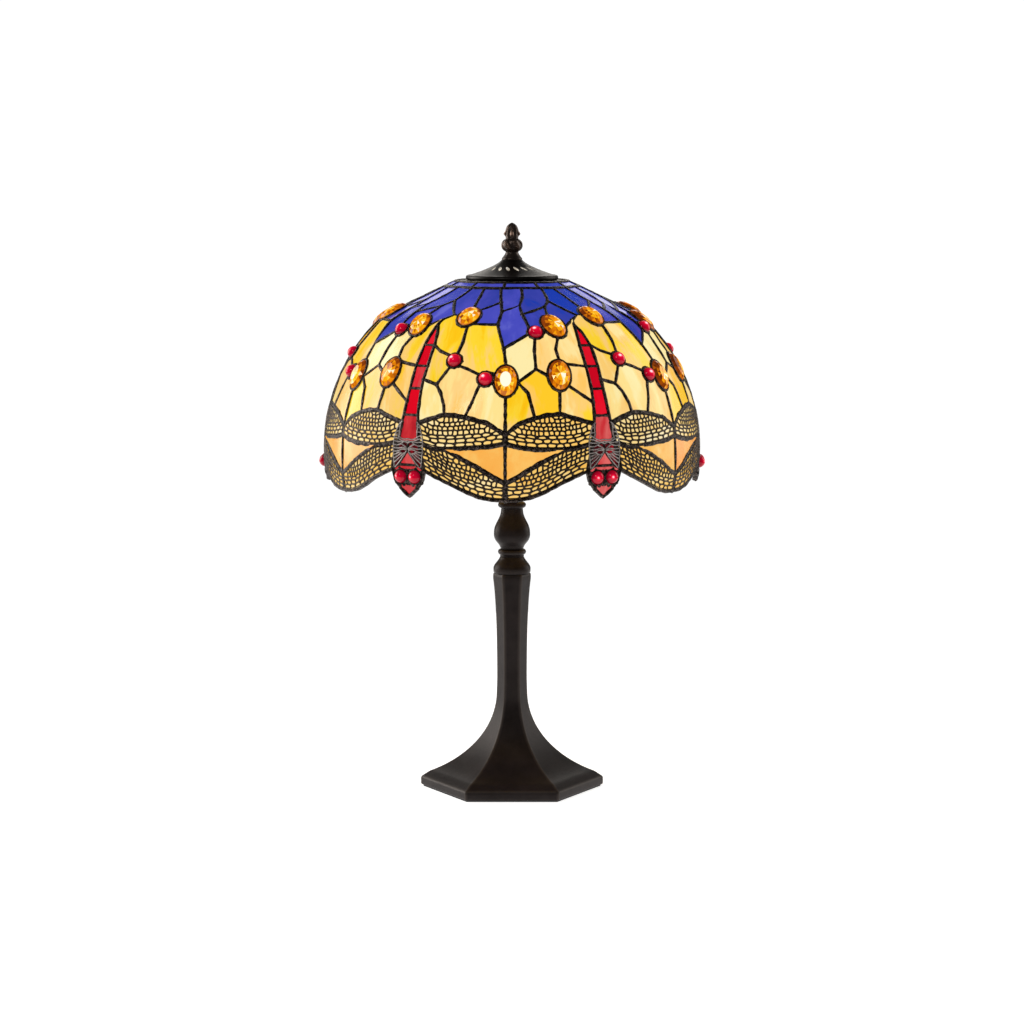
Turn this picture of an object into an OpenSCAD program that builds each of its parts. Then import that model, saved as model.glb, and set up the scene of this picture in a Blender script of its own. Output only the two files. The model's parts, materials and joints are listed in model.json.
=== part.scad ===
// Table lamp with a leaded glass dome shade on a six-sided stand.
// Six dragonflies stand head down around the rim of the shade.
// All sizes are in millimetres. Z is up and Z = 0 is the surface the lamp stands on.
// The front of the lamp faces -Y.

/* [Stand] */
// Width of the base from corner to corner
base_w = 198; // [180:1:220]
// Height of the upright edge of the base
base_edge_h = 11; // [8:1:14]
// Wall of the hollow casting
casting_wall = 4; // [3:0.5:6]
// Height of the top of the six-sided column
column_top_z = 233.5; // [225:0.5:245]
// Thickness of the felt under the base
felt_t = 1.5; // [1:0.5:3]

/* [Shade] */
// Radius of the glass at its top edge
top_r = 60; // [58:0.5:62]
// Height of the top edge of the glass
top_z = 547; // [540:0.5:555]
// Thickness of the glass
glass_t = 3; // [2:0.5:3.5]
// Half the width of a lead line
lead_half = 1.6; // [1.2:0.1:2.4]
// Height of the solder above the glass
solder_h = 1.4; // [0.8:0.1:2]
// Half the width of a lead line on a dragonfly's head
head_lead_half = 1.1; // [0.9:0.1:1.3]
// Turn of the shade on its stand, positive when its front moves to the right
shade_turn = -2; // [-30:0.5:30]

/* [Light] */
// Height of the two lampholders
holder_z = 440; // [430:1:450]
// Diameter of a bulb
bulb_d = 45; // [40:1:50]

/* [Hidden] */

$fn = 64;
fit = 0.15;             // Clearance between pieces that slide or turn
pane_gap = 0.5;         // Clearance from a pane's edge to the middle of its lead line
repeats = 6;            // Dragonflies around the shade
step = 360 / repeats;   // Angle of one repeat

rod_r = 5;              // Threaded tube through the stand
rod_bore_r = 3.4;       // Wire way in the tube
rod_top_z = 581;        // Top of the upper rod, inside the finial
collar_top_z = 251;     // Top of the collar on the column
spindle_top_z = 311;    // Top of the turned spindle
hub_h = 24;             // Height of the cluster hub
hub_r = 13;             // Radius of the cluster hub
sleeve_r = 7.5;         // Tube between the spindle and the hub
cap_top_z = 569;        // Top of the heat cap, where the finial sits
cap_base_z = 545;       // Underside of the heat cap
cap_t = 1.8;            // Wall of the heat cap

// ---- Curves ----

// Point on a cubic curve with end points a, d and control points b, c
function bezier(a, b, c, d, t) =
    pow(1 - t, 3) * a + 3 * t * pow(1 - t, 2) * b + 3 * t * t * (1 - t) * c + pow(t, 3) * d;

// Points along a cubic curve, from the start up to and with the end
function curve(a, b, c, d, steps = 10) = [for (i = [0:steps]) bezier(a, b, c, d, i / steps)];

// Points of a round bead that bulges away from the axis
function bead(r, z, bulge, steps = 8) =
    [for (i = [0:steps]) let (a = -90 + 180 * i / steps) [r + bulge * cos(a), z + bulge * sin(a)]];

// ---- Profile of the shade: a cone, then three arcs of growing steepness ----

cone_slope = 25.5;      // Slope of the cone below the top ring
knee_slope = 46;        // Slope where the knee meets the dome
knee_arc_r = 80;        // Radius of the knee
dome_arc_r = 188.5;     // Radius of the dome
skirt_arc_r = 180;      // Radius below the widest line, where the glass turns in
knee_s = 71;            // Length along the glass where the cone ends
dome_s = knee_s + knee_arc_r * (knee_slope - cone_slope) * PI / 180;
skirt_s = dome_s + dome_arc_r * (90 - knee_slope) * PI / 180;

// Slope of the glass at a length s from its top edge
function slope(s) =
    s < knee_s ? cone_slope
    : s < dome_s ? cone_slope + (s - knee_s) / knee_arc_r * 180 / PI
    : s < skirt_s ? knee_slope + (s - dome_s) / dome_arc_r * 180 / PI
    : 90 + (s - skirt_s) / skirt_arc_r * 180 / PI;

// Radius and height reached along an arc that starts at p with slope a
function along_arc(p, arc_r, a, s_slope) =
    [p[0] + arc_r * (sin(s_slope) - sin(a)), p[1] + arc_r * (cos(s_slope) - cos(a))];

knee_p = [top_r + knee_s * cos(cone_slope), top_z - knee_s * sin(cone_slope)];
dome_p = along_arc(knee_p, knee_arc_r, cone_slope, knee_slope);
skirt_p = along_arc(dome_p, dome_arc_r, knee_slope, 90);

function shade_rz(s) =
    s < knee_s ? [top_r + s * cos(cone_slope), top_z - s * sin(cone_slope)]
    : s < dome_s ? along_arc(knee_p, knee_arc_r, cone_slope, slope(s))
    : s < skirt_s ? along_arc(dome_p, dome_arc_r, knee_slope, slope(s))
    : along_arc(skirt_p, skirt_arc_r, 90, slope(s));

// A point of the pattern is [angle around the shade, length from the top edge]
function on_shade(p) =
    let (q = shade_rz(p[1])) [q[0] * sin(p[0]), -q[0] * cos(p[0]), q[1]];

// ---- Ovals and rounds that interrupt the pattern ----

// An oval is [centre, half width, half length, turn]
jewel_w = 12;
jewel_l = 17.2;
stone_r = 8;
eye_r = 7.6;
seam_jewel = [[0, 157], jewel_w, jewel_l, 0];
next_jewel = [[step, 157], jewel_w, jewel_l, 0];
left_jewel = [[19.5, 90], jewel_w, jewel_l, -17];
right_jewel = [[41.8, 74.5], jewel_w, jewel_l, 0];
low_jewel = [[17.6, 151], jewel_w, jewel_l, 5];
stone_a = [[11.3, 99.5], stone_r, stone_r, 0];
stone_b = [[41.9, 135], stone_r, stone_r, 0];
stone_c = [[53.4, 155], stone_r, stone_r, 0];
left_eye = [[27.6, 258], eye_r, eye_r, 0];
right_eye = [[32.4, 258], eye_r, eye_r, 0];

// Pattern point on an oval. Angle 0 is its right, 90 its foot, -90 its top.
function on_oval(oval, a) =
    let (
        c = oval[0],
        u = oval[1] * cos(a),
        v = oval[2] * sin(a),
        across = u * cos(oval[3]) - v * sin(oval[3]),
        down = u * sin(oval[3]) + v * cos(oval[3])
    )
    [c[0] + across / shade_rz(c[1])[0] * 180 / PI, c[1] + down];

function around(oval, from, to, steps) =
    [for (i = [0:steps]) on_oval(oval, from + (to - from) * i / steps)];

// ---- Junctions of the lead lines, in one repeat from 0 to 60 degrees ----
// Letters follow the lines from the top ring down: a is the seam, e the next seam.

a0 = [-7, 13];
a1 = [-4.5, 43];
a2 = [-3, 63];
a3 = [-4, 88];
a4 = [-2.5, 104];
a5 = [-1, 120];
b0 = [9.5, 13];
b1 = [9, 31];
b2 = [6, 51];
b3 = [7, 69];
ab = [1.5, 57];
bc = [13.5, 61];
c0 = [27, 13];
c1 = [26, 28];
c2 = [24.5, 41];
c3 = [20, 53];
cd = [28.5, 54];
d0 = [38.5, 13];
d1 = [40, 30];
d3 = [34, 73];
d4 = [29.7, 81];
e0 = a0 + [step, 0];
e1 = a1 + [step, 0];
e2 = a2 + [step, 0];
e3 = a3 + [step, 0];
e4 = a4 + [step, 0];
e5 = a5 + [step, 0];
f1 = [10, 123];
f2 = [10, 144];
g1 = [18, 121];
h2 = [16.5, 192];
i1 = [7, 170];
j1 = [43.3, 113];
k1 = [51, 167];
k2 = [49.7, 180];
l0 = [37.2, 162];
l1 = [39.2, 171];
l2 = [40.8, 184];
l3 = [32.1, 157];
m1 = [27.7, 181];
m2 = [35.5, 124];

// Body of the dragonfly, left and right edges
tip = [29, 88];
tail_bend = [31, 100];
tail_left = [[27.8, 117], [27.7, 142], [27.9, 167], [27.5, 195]];
tail_right = [[32.2, 117], [32.3, 142], [32.1, 167], [32.5, 195]];
hip_left = [26.8, 210];
hip_right = [33.2, 210];
root_left = [26.4, 223];
root_right = [33.6, 223];
waist = [30, 223];
throat = [30, 231];
jaw_left = [26.8, 246];
jaw_right = [33.2, 246];
neck_left = [24.5, 251];
neck_right = [35.5, 251];

// Edges of the four wings, each from one end to the other in six steps
wing_a_top = [[0, 213], [4, 202], [8.8, 196], [12.6, 193], h2, [21, 197], [27.1, 203]];
wing_a_low = [[0, 222], [4, 226], [8.8, 228], [13, 228.3], [17.5, 228.3], [21.5, 227], root_left];
wing_b_top = [[32.9, 203], [37, 198], [41.2, 193.5], [44.5, 194], [47.7, 195.5], [54.5, 201], [60, 213]];
wing_b_low = [root_right, [38, 228], [42, 228.5], [45, 228], [48.5, 227], [55, 225.5], [60, 222]];
wing_c_top = [root_left, [21.5, 227], [17.5, 228.3], [12, 238.5], [7.5, 247], [3.5, 256], [0, 262]];
wing_c_low = [neck_left, [20.9, 256], [16.3, 263], [12, 271], [7.8, 277], [4, 279.5], [0, 280]];
wing_d_top = [root_right, [38, 228], [42, 228.5], [48, 239], [52.5, 247], [56.5, 256], [60, 262]];
wing_d_low = [neck_right, [39, 257], [43.8, 264.5], [48, 271], [52.2, 277], [56, 279.5], [60, 280]];

// ---- Panes, each a ring of pattern points ----

band_count = 12;
band_step = 360 / band_count;
band_low = 11.5;
band_turn = -5;
band_outline = [for (p = [[0, 0], [0.5, 0], [1, 0], [1, 1], [0.5, 1], [0, 1]])
    [band_turn + p[0] * band_step, p[1] * band_low]];

blue_outlines = [
    [a0, b0, b1, b2, ab, a2, a1],
    [b0, c0, c1, c2, c3, bc, b3, b2, b1],
    concat([c0, d0, d1], around(right_jewel, -95, -175, 3), [d3, cd, c2, c1]),
    concat([d0, e0, e1], around(right_jewel, -50, -95, 2), [d1]),
    concat([a2, ab, b2, b3, [8, 80]], around(stone_a, 225, 165, 2), [a5, a4, a3]),
    concat([b3, bc, c3], around(left_jewel, -75, -170, 4), around(stone_a, -20, -135, 3), [[8, 80]]),
    concat([c3, c2, cd, d3, d4], around(left_jewel, 20, -75, 4)),
    concat([e1, e2, e3], around(right_jewel, 50, -50, 4))
];

gold_outlines = [
    concat([tip], [tail_left[0], tail_left[1]], around(low_jewel, -50, -85, 1), [g1],
        around(left_jewel, 110, 20, 4), [d4]),
    concat([m1, tail_left[3], wing_a_top[6], wing_a_top[5], h2], around(low_jewel, 90, 40, 2)),
    concat([i1, wing_a_top[2], wing_a_top[1], wing_a_top[0]], around(seam_jewel, 90, 5, 4)),
    concat([d4, d3], around(right_jewel, 185, 75, 4), [j1], around(stone_b, -80, -135, 2),
        [m2, tail_right[0], tail_bend, tip]),
    concat([e3, e4, e5], around(next_jewel, -90, -155, 3), around(stone_c, -55, -145, 3), [[47, 144]],
        around(stone_b, 45, -80, 3), [j1], around(right_jewel, 75, 50, 1)),
    concat([tail_right[0], m2], around(stone_b, -135, -245, 3), [l0, l3, tail_right[1]])
];

cream_outlines = [
    concat([a5], around(stone_a, 165, 100, 2), [f1, f2], around(seam_jewel, 5, -90, 4)),
    concat([f1], around(stone_a, 100, 10, 3), around(left_jewel, 165, 110, 3), [g1],
        around(low_jewel, -85, -185, 4), [f2]),
    concat(around(low_jewel, -50, 40, 4), [m1, tail_left[2], tail_left[1]]),
    concat([f2], around(low_jewel, 175, 90, 3), [h2, wing_a_top[3], wing_a_top[2], i1,
        on_oval(seam_jewel, 5)]),
    concat(around(stone_b, 115, 45, 2), [[47, 144]], around(stone_c, 215, 130, 3), [k1, k2,
        wing_b_top[4], wing_b_top[3], wing_b_top[2], l2, l1, l0]),
    concat(around(stone_c, 130, 30, 3), around(next_jewel, 165, 90, 3), [wing_b_top[6], wing_b_top[5],
        wing_b_top[4], k2, k1]),
    [l3, l0, l1, l2, wing_b_top[2], wing_b_top[1], wing_b_top[0], tail_right[3],
        tail_right[2]]
];

peach_outlines = [
    [wing_a_low[0], wing_a_low[1], wing_a_low[2], wing_a_low[3], wing_a_low[4], wing_c_top[3],
        wing_c_top[4], wing_c_top[5], wing_c_top[6]],
    [wing_b_low[2], wing_b_low[3], wing_b_low[4], wing_b_low[5], wing_b_low[6], wing_d_top[6],
        wing_d_top[5], wing_d_top[4], wing_d_top[3]]
];

tail_outlines = concat(
    [[tip, tail_bend, tail_right[0], tail_left[0]]],
    [for (i = [0:2]) [tail_left[i], tail_right[i], tail_right[i + 1], tail_left[i + 1]]]
);

body_outlines = [
    [tail_left[3], tail_right[3], hip_right, root_right, waist, root_left, hip_left],
    [root_left, waist, throat, jaw_left, neck_left],
    [root_right, neck_right, jaw_right, throat, waist],
    [throat, jaw_right, jaw_left]
];

head_outlines = [
    concat([jaw_left, jaw_right, neck_right], around(right_eye, -40, -165, 3),
        around(left_eye, -15, -140, 3), [neck_left]),
    concat([[30, 263]], around(right_eye, 115, 75, 1), [[32.9, 270], [30, 278.5], [27.1, 270]],
        around(left_eye, 105, 65, 1))
];

// The panes of a wing span two steps of its edges each
function wing_panes(top, low) =
    [for (i = [0:2:4]) [top[i], top[i + 1], top[i + 2], low[i + 2], low[i + 1], low[i]]];

upper_wings = concat(wing_panes(wing_a_top, wing_a_low), wing_panes(wing_b_top, wing_b_low));
lower_wings = concat(wing_panes(wing_c_top, wing_c_low), wing_panes(wing_d_top, wing_d_low));

// ---- Geometry of a flat pane ----

function unit(v) = v / norm(v);
function mean(list) = [for (k = [0:2]) sum([for (p = list) p[k]]) / len(list)];
function sum(list, i = 0) = i < len(list) ? list[i] + sum(list, i + 1) : 0;
function sum_v(list, i = 0) = i < len(list) ? list[i] + sum_v(list, i + 1) : [0, 0, 0];
function turned(list, i, by) = list[(i + by + len(list)) % len(list)];

// Outward normal of the plane that fits a ring of points best
function ring_normal(points, c) =
    let (n = unit(sum_v([for (i = [0:len(points) - 1]) cross(points[i] - c, turned(points, i, 1) - c)])))
    n * [c[0], c[1], norm(c) / 3] > 0 ? n : -n;

// Frame of a pane: centre, across, up, out
function pane_frame(points) =
    let (
        c = mean(points),
        out = ring_normal(points, c),
        across = unit(cross([0, 0, 1], out))
    )
    [c, across, cross(out, across), out];

function flat(points, frame) = [for (p = points) [(p - frame[0]) * frame[1], (p - frame[0]) * frame[2]]];

function area(ring) =
    sum([for (i = [0:len(ring) - 1])
        let (p = ring[i], q = turned(ring, i, 1)) p[0] * q[1] - p[1] * q[0]]) / 2;

// Unit vector that points into a ring from its edge after point i
function inward(ring, i, side) =
    let (d = unit(turned(ring, i, 1) - ring[i])) side * [-d[1], d[0]];

// A ring moved in by d on every side, with blunted corners
function shrunk(ring, d) =
    let (side = area(ring) > 0 ? 1 : -1)
    [for (i = [0:len(ring) - 1])
        let (m = inward(ring, (i + len(ring) - 1) % len(ring), side), n = inward(ring, i, side))
        ring[i] + (m + n) * d / max(0.45, 1 + m * n)];

module in_frame(frame) {
    multmatrix([for (k = [0:2]) [frame[1][k], frame[2][k], frame[3][k], frame[0][k]]])
        children();
}

module repeat_around() {
    for (k = [0:repeats - 1])
        rotate([0, 0, k * step + shade_turn])
            children();
}

// One flat pane of glass for each outline, with its outer face on the shade's surface
module panes(outlines) {
    for (outline = outlines) {
        points = [for (p = outline) on_shade(p)];
        frame = pane_frame(points);
        in_frame(frame)
            translate([0, 0, -glass_t])
                linear_extrude(glass_t)
                    polygon(shrunk(flat(points, frame), pane_gap));
    }
}

// A flat ring of solder on the edge of each pane
module leads(outlines, half = lead_half) {
    for (outline = outlines) {
        points = [for (p = outline) on_shade(p)];
        frame = pane_frame(points);
        ring = flat(points, frame);
        count = len(ring);
        in_frame(frame)
            linear_extrude(solder_h)
                polygon(
                    concat(shrunk(ring, pane_gap), shrunk(ring, half)),
                    [[for (i = [0:count - 1]) i], [for (i = [0:count - 1]) count + i]]
                );
    }
}

// Frame of the shade's own surface at a pattern point
function surface_frame(p) =
    let (
        a = slope(p[1]),
        across = [cos(p[0]), sin(p[0]), 0],
        out = [sin(a) * sin(p[0]), -sin(a) * cos(p[0]), cos(a)]
    )
    [on_shade(p), across, cross(out, across), out];

// ---- Filigree: a thin pierced plate on each pane of a wing ----

filigree_t = 0.8;
filigree_inset = lead_half + 0.2;
cell_rows = 4;
cell_cols = 2;
cell_wall = 0.16;       // Share of a cell taken by metal

// Point of a six-point wing pane, at u along it and v from its top edge to its low edge
function wing_at(ring, u, v) =
    let (
        t = u < 0.5 ? ring[0] + (ring[1] - ring[0]) * 2 * u : ring[1] + (ring[2] - ring[1]) * (2 * u - 1),
        l = u < 0.5 ? ring[5] + (ring[4] - ring[5]) * 2 * u : ring[4] + (ring[3] - ring[4]) * (2 * u - 1)
    )
    t + (l - t) * v;

function cell(ring, col, row) =
    [for (q = [[0, 0], [1, 0], [1, 1], [0, 1]])
        wing_at(ring,
            (col + cell_wall + q[0] * (1 - 2 * cell_wall)) / cell_cols,
            (row + cell_wall + q[1] * (1 - 2 * cell_wall)) / cell_rows)];

module filigree(outlines) {
    for (outline = outlines) {
        points = [for (p = outline) on_shade(p)];
        frame = pane_frame(points);
        ring = shrunk(flat(points, frame), filigree_inset);
        holes = [for (col = [0:cell_cols - 1], row = [0:cell_rows - 1]) cell(ring, col, row)];
        in_frame(frame)
            linear_extrude(filigree_t)
                polygon(
                    concat(ring, [for (h = holes) each h]),
                    concat([[for (i = [0:5]) i]],
                        [for (h = [0:len(holes) - 1]) [for (i = [0:3]) 6 + 4 * h + i]])
                );
    }
}

// ---- Stand ----

flat_share = cos(30);   // Flat-to-centre over corner-to-centre distance of a hexagon
base_r = base_w / 2;
skirt_in = 2;           // How far the foot of the edge is drawn in

// Half outlines, as corner radius and height
casting_outline = concat(
    [[base_r - skirt_in, felt_t], [base_r, felt_t + 2], [base_r, base_edge_h]],
    curve([base_r - 9.5, base_edge_h + 5.7], [50, 31], [17, 62], [16.7, 105], 14),
    curve([16.3, 118], [16.2, 180], [18.5, 212], [20.5, 227], 8),
    [[20.5, column_top_z - 1.5], [19, column_top_z]]
);
hollow_top_z = 96;
hollow_outline = concat(
    [[base_r - skirt_in - casting_wall, 0], [base_r - skirt_in - casting_wall, base_edge_h - 2]],
    curve([base_r - 16, base_edge_h + 1], [46, 25], [17 - casting_wall, 54],
        [16.7 - casting_wall, hollow_top_z], 14)
);

// A six-sided solid, with a flat side at the front, from a half outline
module six_sided(outline) {
    right = [for (p = outline) [p[0] * flat_share, p[1]]];
    count = len(right);
    left = [for (i = [0:count - 1]) [-right[count - 1 - i][0], right[count - 1 - i][1]]];
    intersection_for (k = [0:2])
        rotate([90, 0, 30 + 60 * k])
            linear_extrude(3 * base_r, center = true)
                polygon(concat(right, left));
}

module felt_pad() {
    color("#151312")
        difference() {
            cylinder(h = felt_t, r = base_r - skirt_in - 1, $fn = 6);
            translate([0, 0, -1])
                cylinder(h = felt_t + 2, r = 20);
        }
}

cover_t = 1.5;
cover_r = base_r - skirt_in - casting_wall - 0.6;
screw_ring_r = 62;
screw_r = 2;
module screw_places() {
    for (k = [0:2])
        rotate([0, 0, 30 + 120 * k])
            translate([screw_ring_r, 0, 0])
                children();
}

module bottom_cover() {
    color("#2b2826")
        difference() {
            translate([0, 0, felt_t])
                cylinder(h = cover_t, r = cover_r, $fn = 6);
            translate([0, 0, felt_t - 1])
                cylinder(h = cover_t + 2, r = 18);
            screw_places()
                translate([0, 0, felt_t - 1])
                    cylinder(h = cover_t + 2, r = screw_r + fit);
        }
}

ballast_z = felt_t + cover_t;
ballast_h = 8;
ballast_r = 68;
module ballast_weight() {
    color("#3a3633")
        difference() {
            translate([0, 0, ballast_z])
                cylinder(h = ballast_h, r = ballast_r);
            translate([0, 0, ballast_z - 1])
                cylinder(h = ballast_h + 2, r = 18);
            screw_places()
                translate([0, 0, ballast_z - 1])
                    cylinder(h = ballast_h + 2, r = screw_r + fit);
        }
}

screw_head_r = 3.6;
screw_head_h = 1;
module cover_screws() {
    color("#8a8177")
        screw_places()
            union() {
                translate([0, 0, felt_t])
                    cylinder(h = cover_t + ballast_h, r = screw_r);
                translate([0, 0, ballast_z + ballast_h])
                    cylinder(h = screw_head_h, r = screw_head_r);
            }
}

bush_z = 7;
bush_r = 3.2;
bush_face_y = base_r * flat_share;
module stand_casting() {
    color("#4a3a34")
        difference() {
            six_sided(casting_outline);
            six_sided(hollow_outline);
            translate([0, 0, hollow_top_z - 1])
                cylinder(h = column_top_z, r = rod_r + fit);
            translate([0, bush_face_y - 14, bush_z])
                rotate([-90, 0, 0])
                    cylinder(h = 20, r = bush_r + fit);
        }
}

// Bush that lines the cord's way in, with a lip on the outside of the base
module cord_bush() {
    color("#1c1a19")
        translate([0, bush_face_y, bush_z])
            rotate([90, 0, 0])
                difference() {
                    union() {
                        cylinder(h = 9, r = bush_r);
                        translate([0, 0, -1.5])
                            cylinder(h = 1.5, r = bush_r + 1.3);
                    }
                    translate([0, 0, -2])
                        cylinder(h = 12, r = 2.2);
                }
}

lower_pipe_z = 82;
module threaded_tube(z, top) {
    translate([0, 0, z])
        difference() {
            cylinder(h = top - z, r = rod_r);
            translate([0, 0, -1])
                cylinder(h = top - z + 2, r = rod_bore_r);
        }
}

module lower_pipe() {
    color("#9c8b6a")
        threaded_tube(lower_pipe_z, holder_z - hub_h / 2 + 5);
}

washer_t = 2;
nut_h = 6;
module base_washer() {
    color("#8a8177")
        translate([0, 0, hollow_top_z - washer_t])
            difference() {
                cylinder(h = washer_t, r = 10);
                translate([0, 0, -1])
                    cylinder(h = washer_t + 2, r = rod_r + fit);
            }
}

module base_nut() {
    color("#8a8177")
        translate([0, 0, hollow_top_z - washer_t - nut_h])
            difference() {
                cylinder(h = nut_h, r = 9, $fn = 6);
                translate([0, 0, -1])
                    cylinder(h = nut_h + 2, r = rod_r + fit / 3);
            }
}

// ---- Neck: a collar, then a turned spindle ----

module turned_piece(outline) {
    z0 = outline[0][1];
    z1 = outline[len(outline) - 1][1];
    rotate_extrude()
        polygon(concat([[rod_r + fit, z0]], outline, [[rod_r + fit, z1]]));
}

module neck_collar() {
    color("#4a3a34")
        turned_piece(concat(
            [[19.3, column_top_z], [20, column_top_z + 2]],
            curve([20, column_top_z + 4], [20, 243], [14.5, 246], [13, collar_top_z], 8)
        ));
}

module turned_spindle() {
    color("#4a3a34")
        turned_piece(concat(
            [[12.8, collar_top_z]],
            bead(12, 256.3, 3.1),
            curve([12.8, 261.7], [14, 266], [19.5, 267.5], [19.5, 275.5], 8),
            curve([19.4, 277], [19.5, 287], [12.5, 291], [11.8, 301], 8),
            bead(12, 307, 3),
            [[11, spindle_top_z]]
        ));
}

module sleeve_tube() {
    color("#4a3a34")
        turned_piece([[sleeve_r, spindle_top_z], [sleeve_r, holder_z - hub_h / 2]]);
}

// ---- Cluster with two lampholders, which point to the front and to the rear ----

arm_r = 5;
arm_end = 27;           // Distance of the arm's end from the axis of the lamp
holder_r = 17;
shell_t = 1.5;
cap_l = 13;             // Length of the lampholder's cap
shell_l = 30;           // Length of the lampholder's outer shell
screw_r_in = 13.1;      // Inside of the screw shell, which takes a 26 mm lamp cap
contact_w = arm_end + cap_l + 6;
bulb_w = contact_w + 1.7;
bulb_cap_l = 22;
bulb_neck_w = bulb_w + bulb_cap_l;
bulb_r = bulb_d / 2;
bulb_mid_w = bulb_neck_w + bulb_r + 3;

// Puts a piece drawn along +Z on a lampholder's axis: side 0 is the front, 1 the rear
module on_holder(side) {
    translate([0, 0, holder_z])
        rotate([90, 0, 180 * side])
            children();
}

module tube(from, to, r, bore) {
    translate([0, 0, from])
        difference() {
            cylinder(h = to - from, r = r);
            translate([0, 0, -1])
                cylinder(h = to - from + 2, r = bore);
        }
}

module cluster_hub() {
    color("#6b5a3c")
        difference() {
            translate([0, 0, holder_z - hub_h / 2])
                cylinder(h = hub_h, r = hub_r);
            translate([0, 0, holder_z - hub_h])
                cylinder(h = hub_h / 2 + 5, r = rod_r + fit / 3);
            translate([0, 0, holder_z - 7])
                cylinder(h = 14, r = hub_r - 3);
            translate([0, 0, holder_z])
                cylinder(h = hub_h, r = rod_r + fit / 3);
            translate([0, 0, holder_z])
                rotate([90, 0, 0])
                    cylinder(h = 3 * hub_r, r = arm_r + fit / 3, center = true);
        }
}

module hub_lid() {
    color("#6b5a3c")
        translate([0, 0, holder_z + hub_h / 2])
            difference() {
                cylinder(h = 3, r = hub_r - 2);
                translate([0, 0, -1])
                    cylinder(h = 5, r = rod_r + fit / 3);
            }
}

module holder_arms() {
    color("#6b5a3c")
        for (side = [0, 1])
            on_holder(side)
                tube(hub_r - 3, arm_end + 3, arm_r, rod_bore_r);
}

module holder_cap(side) {
    color("#3a2f28")
        on_holder(side)
            rotate_extrude()
                polygon(concat(
                    [[arm_r + fit / 3, arm_end]],
                    curve([arm_r + 3, arm_end], [holder_r - 3, arm_end], [holder_r, arm_end + 4],
                        [holder_r, arm_end + cap_l], 8),
                    [[holder_r - shell_t, arm_end + cap_l], [holder_r - shell_t, arm_end + cap_l - 3],
                        [arm_r + 4, arm_end + 3], [arm_r + fit / 3, arm_end + 3]]
                ));
}

module holder_shell(side) {
    color("#3a2f28")
        on_holder(side)
            tube(arm_end + cap_l, arm_end + cap_l + shell_l, holder_r, holder_r - shell_t);
}

module holder_insulators() {
    color("#e9e4d8")
        for (side = [0, 1])
            on_holder(side)
                tube(arm_end + cap_l + 0.5, contact_w - 1, holder_r - shell_t - 0.3, 2);
}

module holder_contacts() {
    color("#c8a24a")
        for (side = [0, 1])
            on_holder(side)
                translate([0, 0, contact_w - 1])
                    cylinder(h = 1.5, r = 4);
}

module screw_shell(side) {
    color("#c8a24a")
        on_holder(side)
            tube(contact_w - 1, arm_end + cap_l + shell_l - 2, screw_r_in + 0.8, screw_r_in);
}

module holder_ring(side) {
    color("#3a2f28")
        on_holder(side)
            tube(arm_end + cap_l + 17, arm_end + cap_l + 22, holder_r + 3, holder_r + fit / 3);
}

module bulb_cap(side) {
    color("#b8b4ac")
        on_holder(side)
            union() {
                translate([0, 0, bulb_w + 3])
                    cylinder(h = bulb_cap_l - 3, r = screw_r_in - 0.3);
                translate([0, 0, bulb_w])
                    cylinder(h = 3, r = 5);
            }
}

// Round glass bulb, thin walled, on a short neck
bulb_neck_r = 12;
bulb_wall = 1;
neck_meet_a = -58;      // Angle on the ball where the neck meets it
module bulb_glass(side) {
    outer = [for (i = [0:14]) let (a = neck_meet_a + (90 - neck_meet_a) * i / 14)
        [bulb_r * cos(a), bulb_mid_w + bulb_r * sin(a)]];
    inner = [for (i = [0:14]) let (a = 90 - (90 - neck_meet_a) * i / 14)
        [(bulb_r - bulb_wall) * cos(a), bulb_mid_w + (bulb_r - bulb_wall) * sin(a)]];
    color("#fff3d6")
        on_holder(side)
            rotate_extrude()
                polygon(concat([[bulb_neck_r, bulb_neck_w]], outer, inner,
                    [[bulb_neck_r - 1.2, bulb_neck_w]]));
}

module bulb_stem(side) {
    color("#ffe9b0")
        on_holder(side)
            union() {
                translate([0, 0, bulb_neck_w])
                    cylinder(h = 14, r = 4);
                translate([0, 0, bulb_neck_w + 14])
                    cylinder(h = 14, r = 2.5);
            }
}

module upper_rod() {
    color("#9c8b6a")
        threaded_tube(holder_z + 8, rod_top_z);
}

// ---- Top of the shade ----

spider_t = 4;
leg_gap = 0.4;          // Keeps the square ends of the legs clear of the ring
ring_out_r = top_r - 1.8;
ring_in_r = top_r - 8;
module shade_spider() {
    color("#8c6f3f")
        difference() {
            union() {
                translate([0, 0, cap_base_z - spider_t])
                    cylinder(h = spider_t, r = 12);
                for (k = [0:2])
                    rotate([0, 0, 30 + 120 * k])
                        translate([8, -5, cap_base_z - spider_t])
                            cube([ring_in_r - 8 - leg_gap, 10, spider_t]);
            }
            translate([0, 0, cap_base_z - 2 * spider_t])
                cylinder(h = 3 * spider_t, r = rod_r + fit);
        }
}

module shade_ring() {
    color("#8c6f3f")
        rotate_extrude()
            translate([ring_in_r, cap_base_z - 5])
                square([ring_out_r - ring_in_r, 5]);
}

module rest_washer() {
    color("#8a8177")
        tube(cap_base_z - spider_t - washer_t, cap_base_z - spider_t, 11, rod_r + fit);
}

module rest_nut() {
    color("#8a8177")
        translate([0, 0, cap_base_z - spider_t - washer_t - nut_h])
            difference() {
                cylinder(h = nut_h, r = 9, $fn = 6);
                translate([0, 0, -1])
                    cylinder(h = nut_h + 2, r = rod_r + fit / 3);
            }
}

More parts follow.
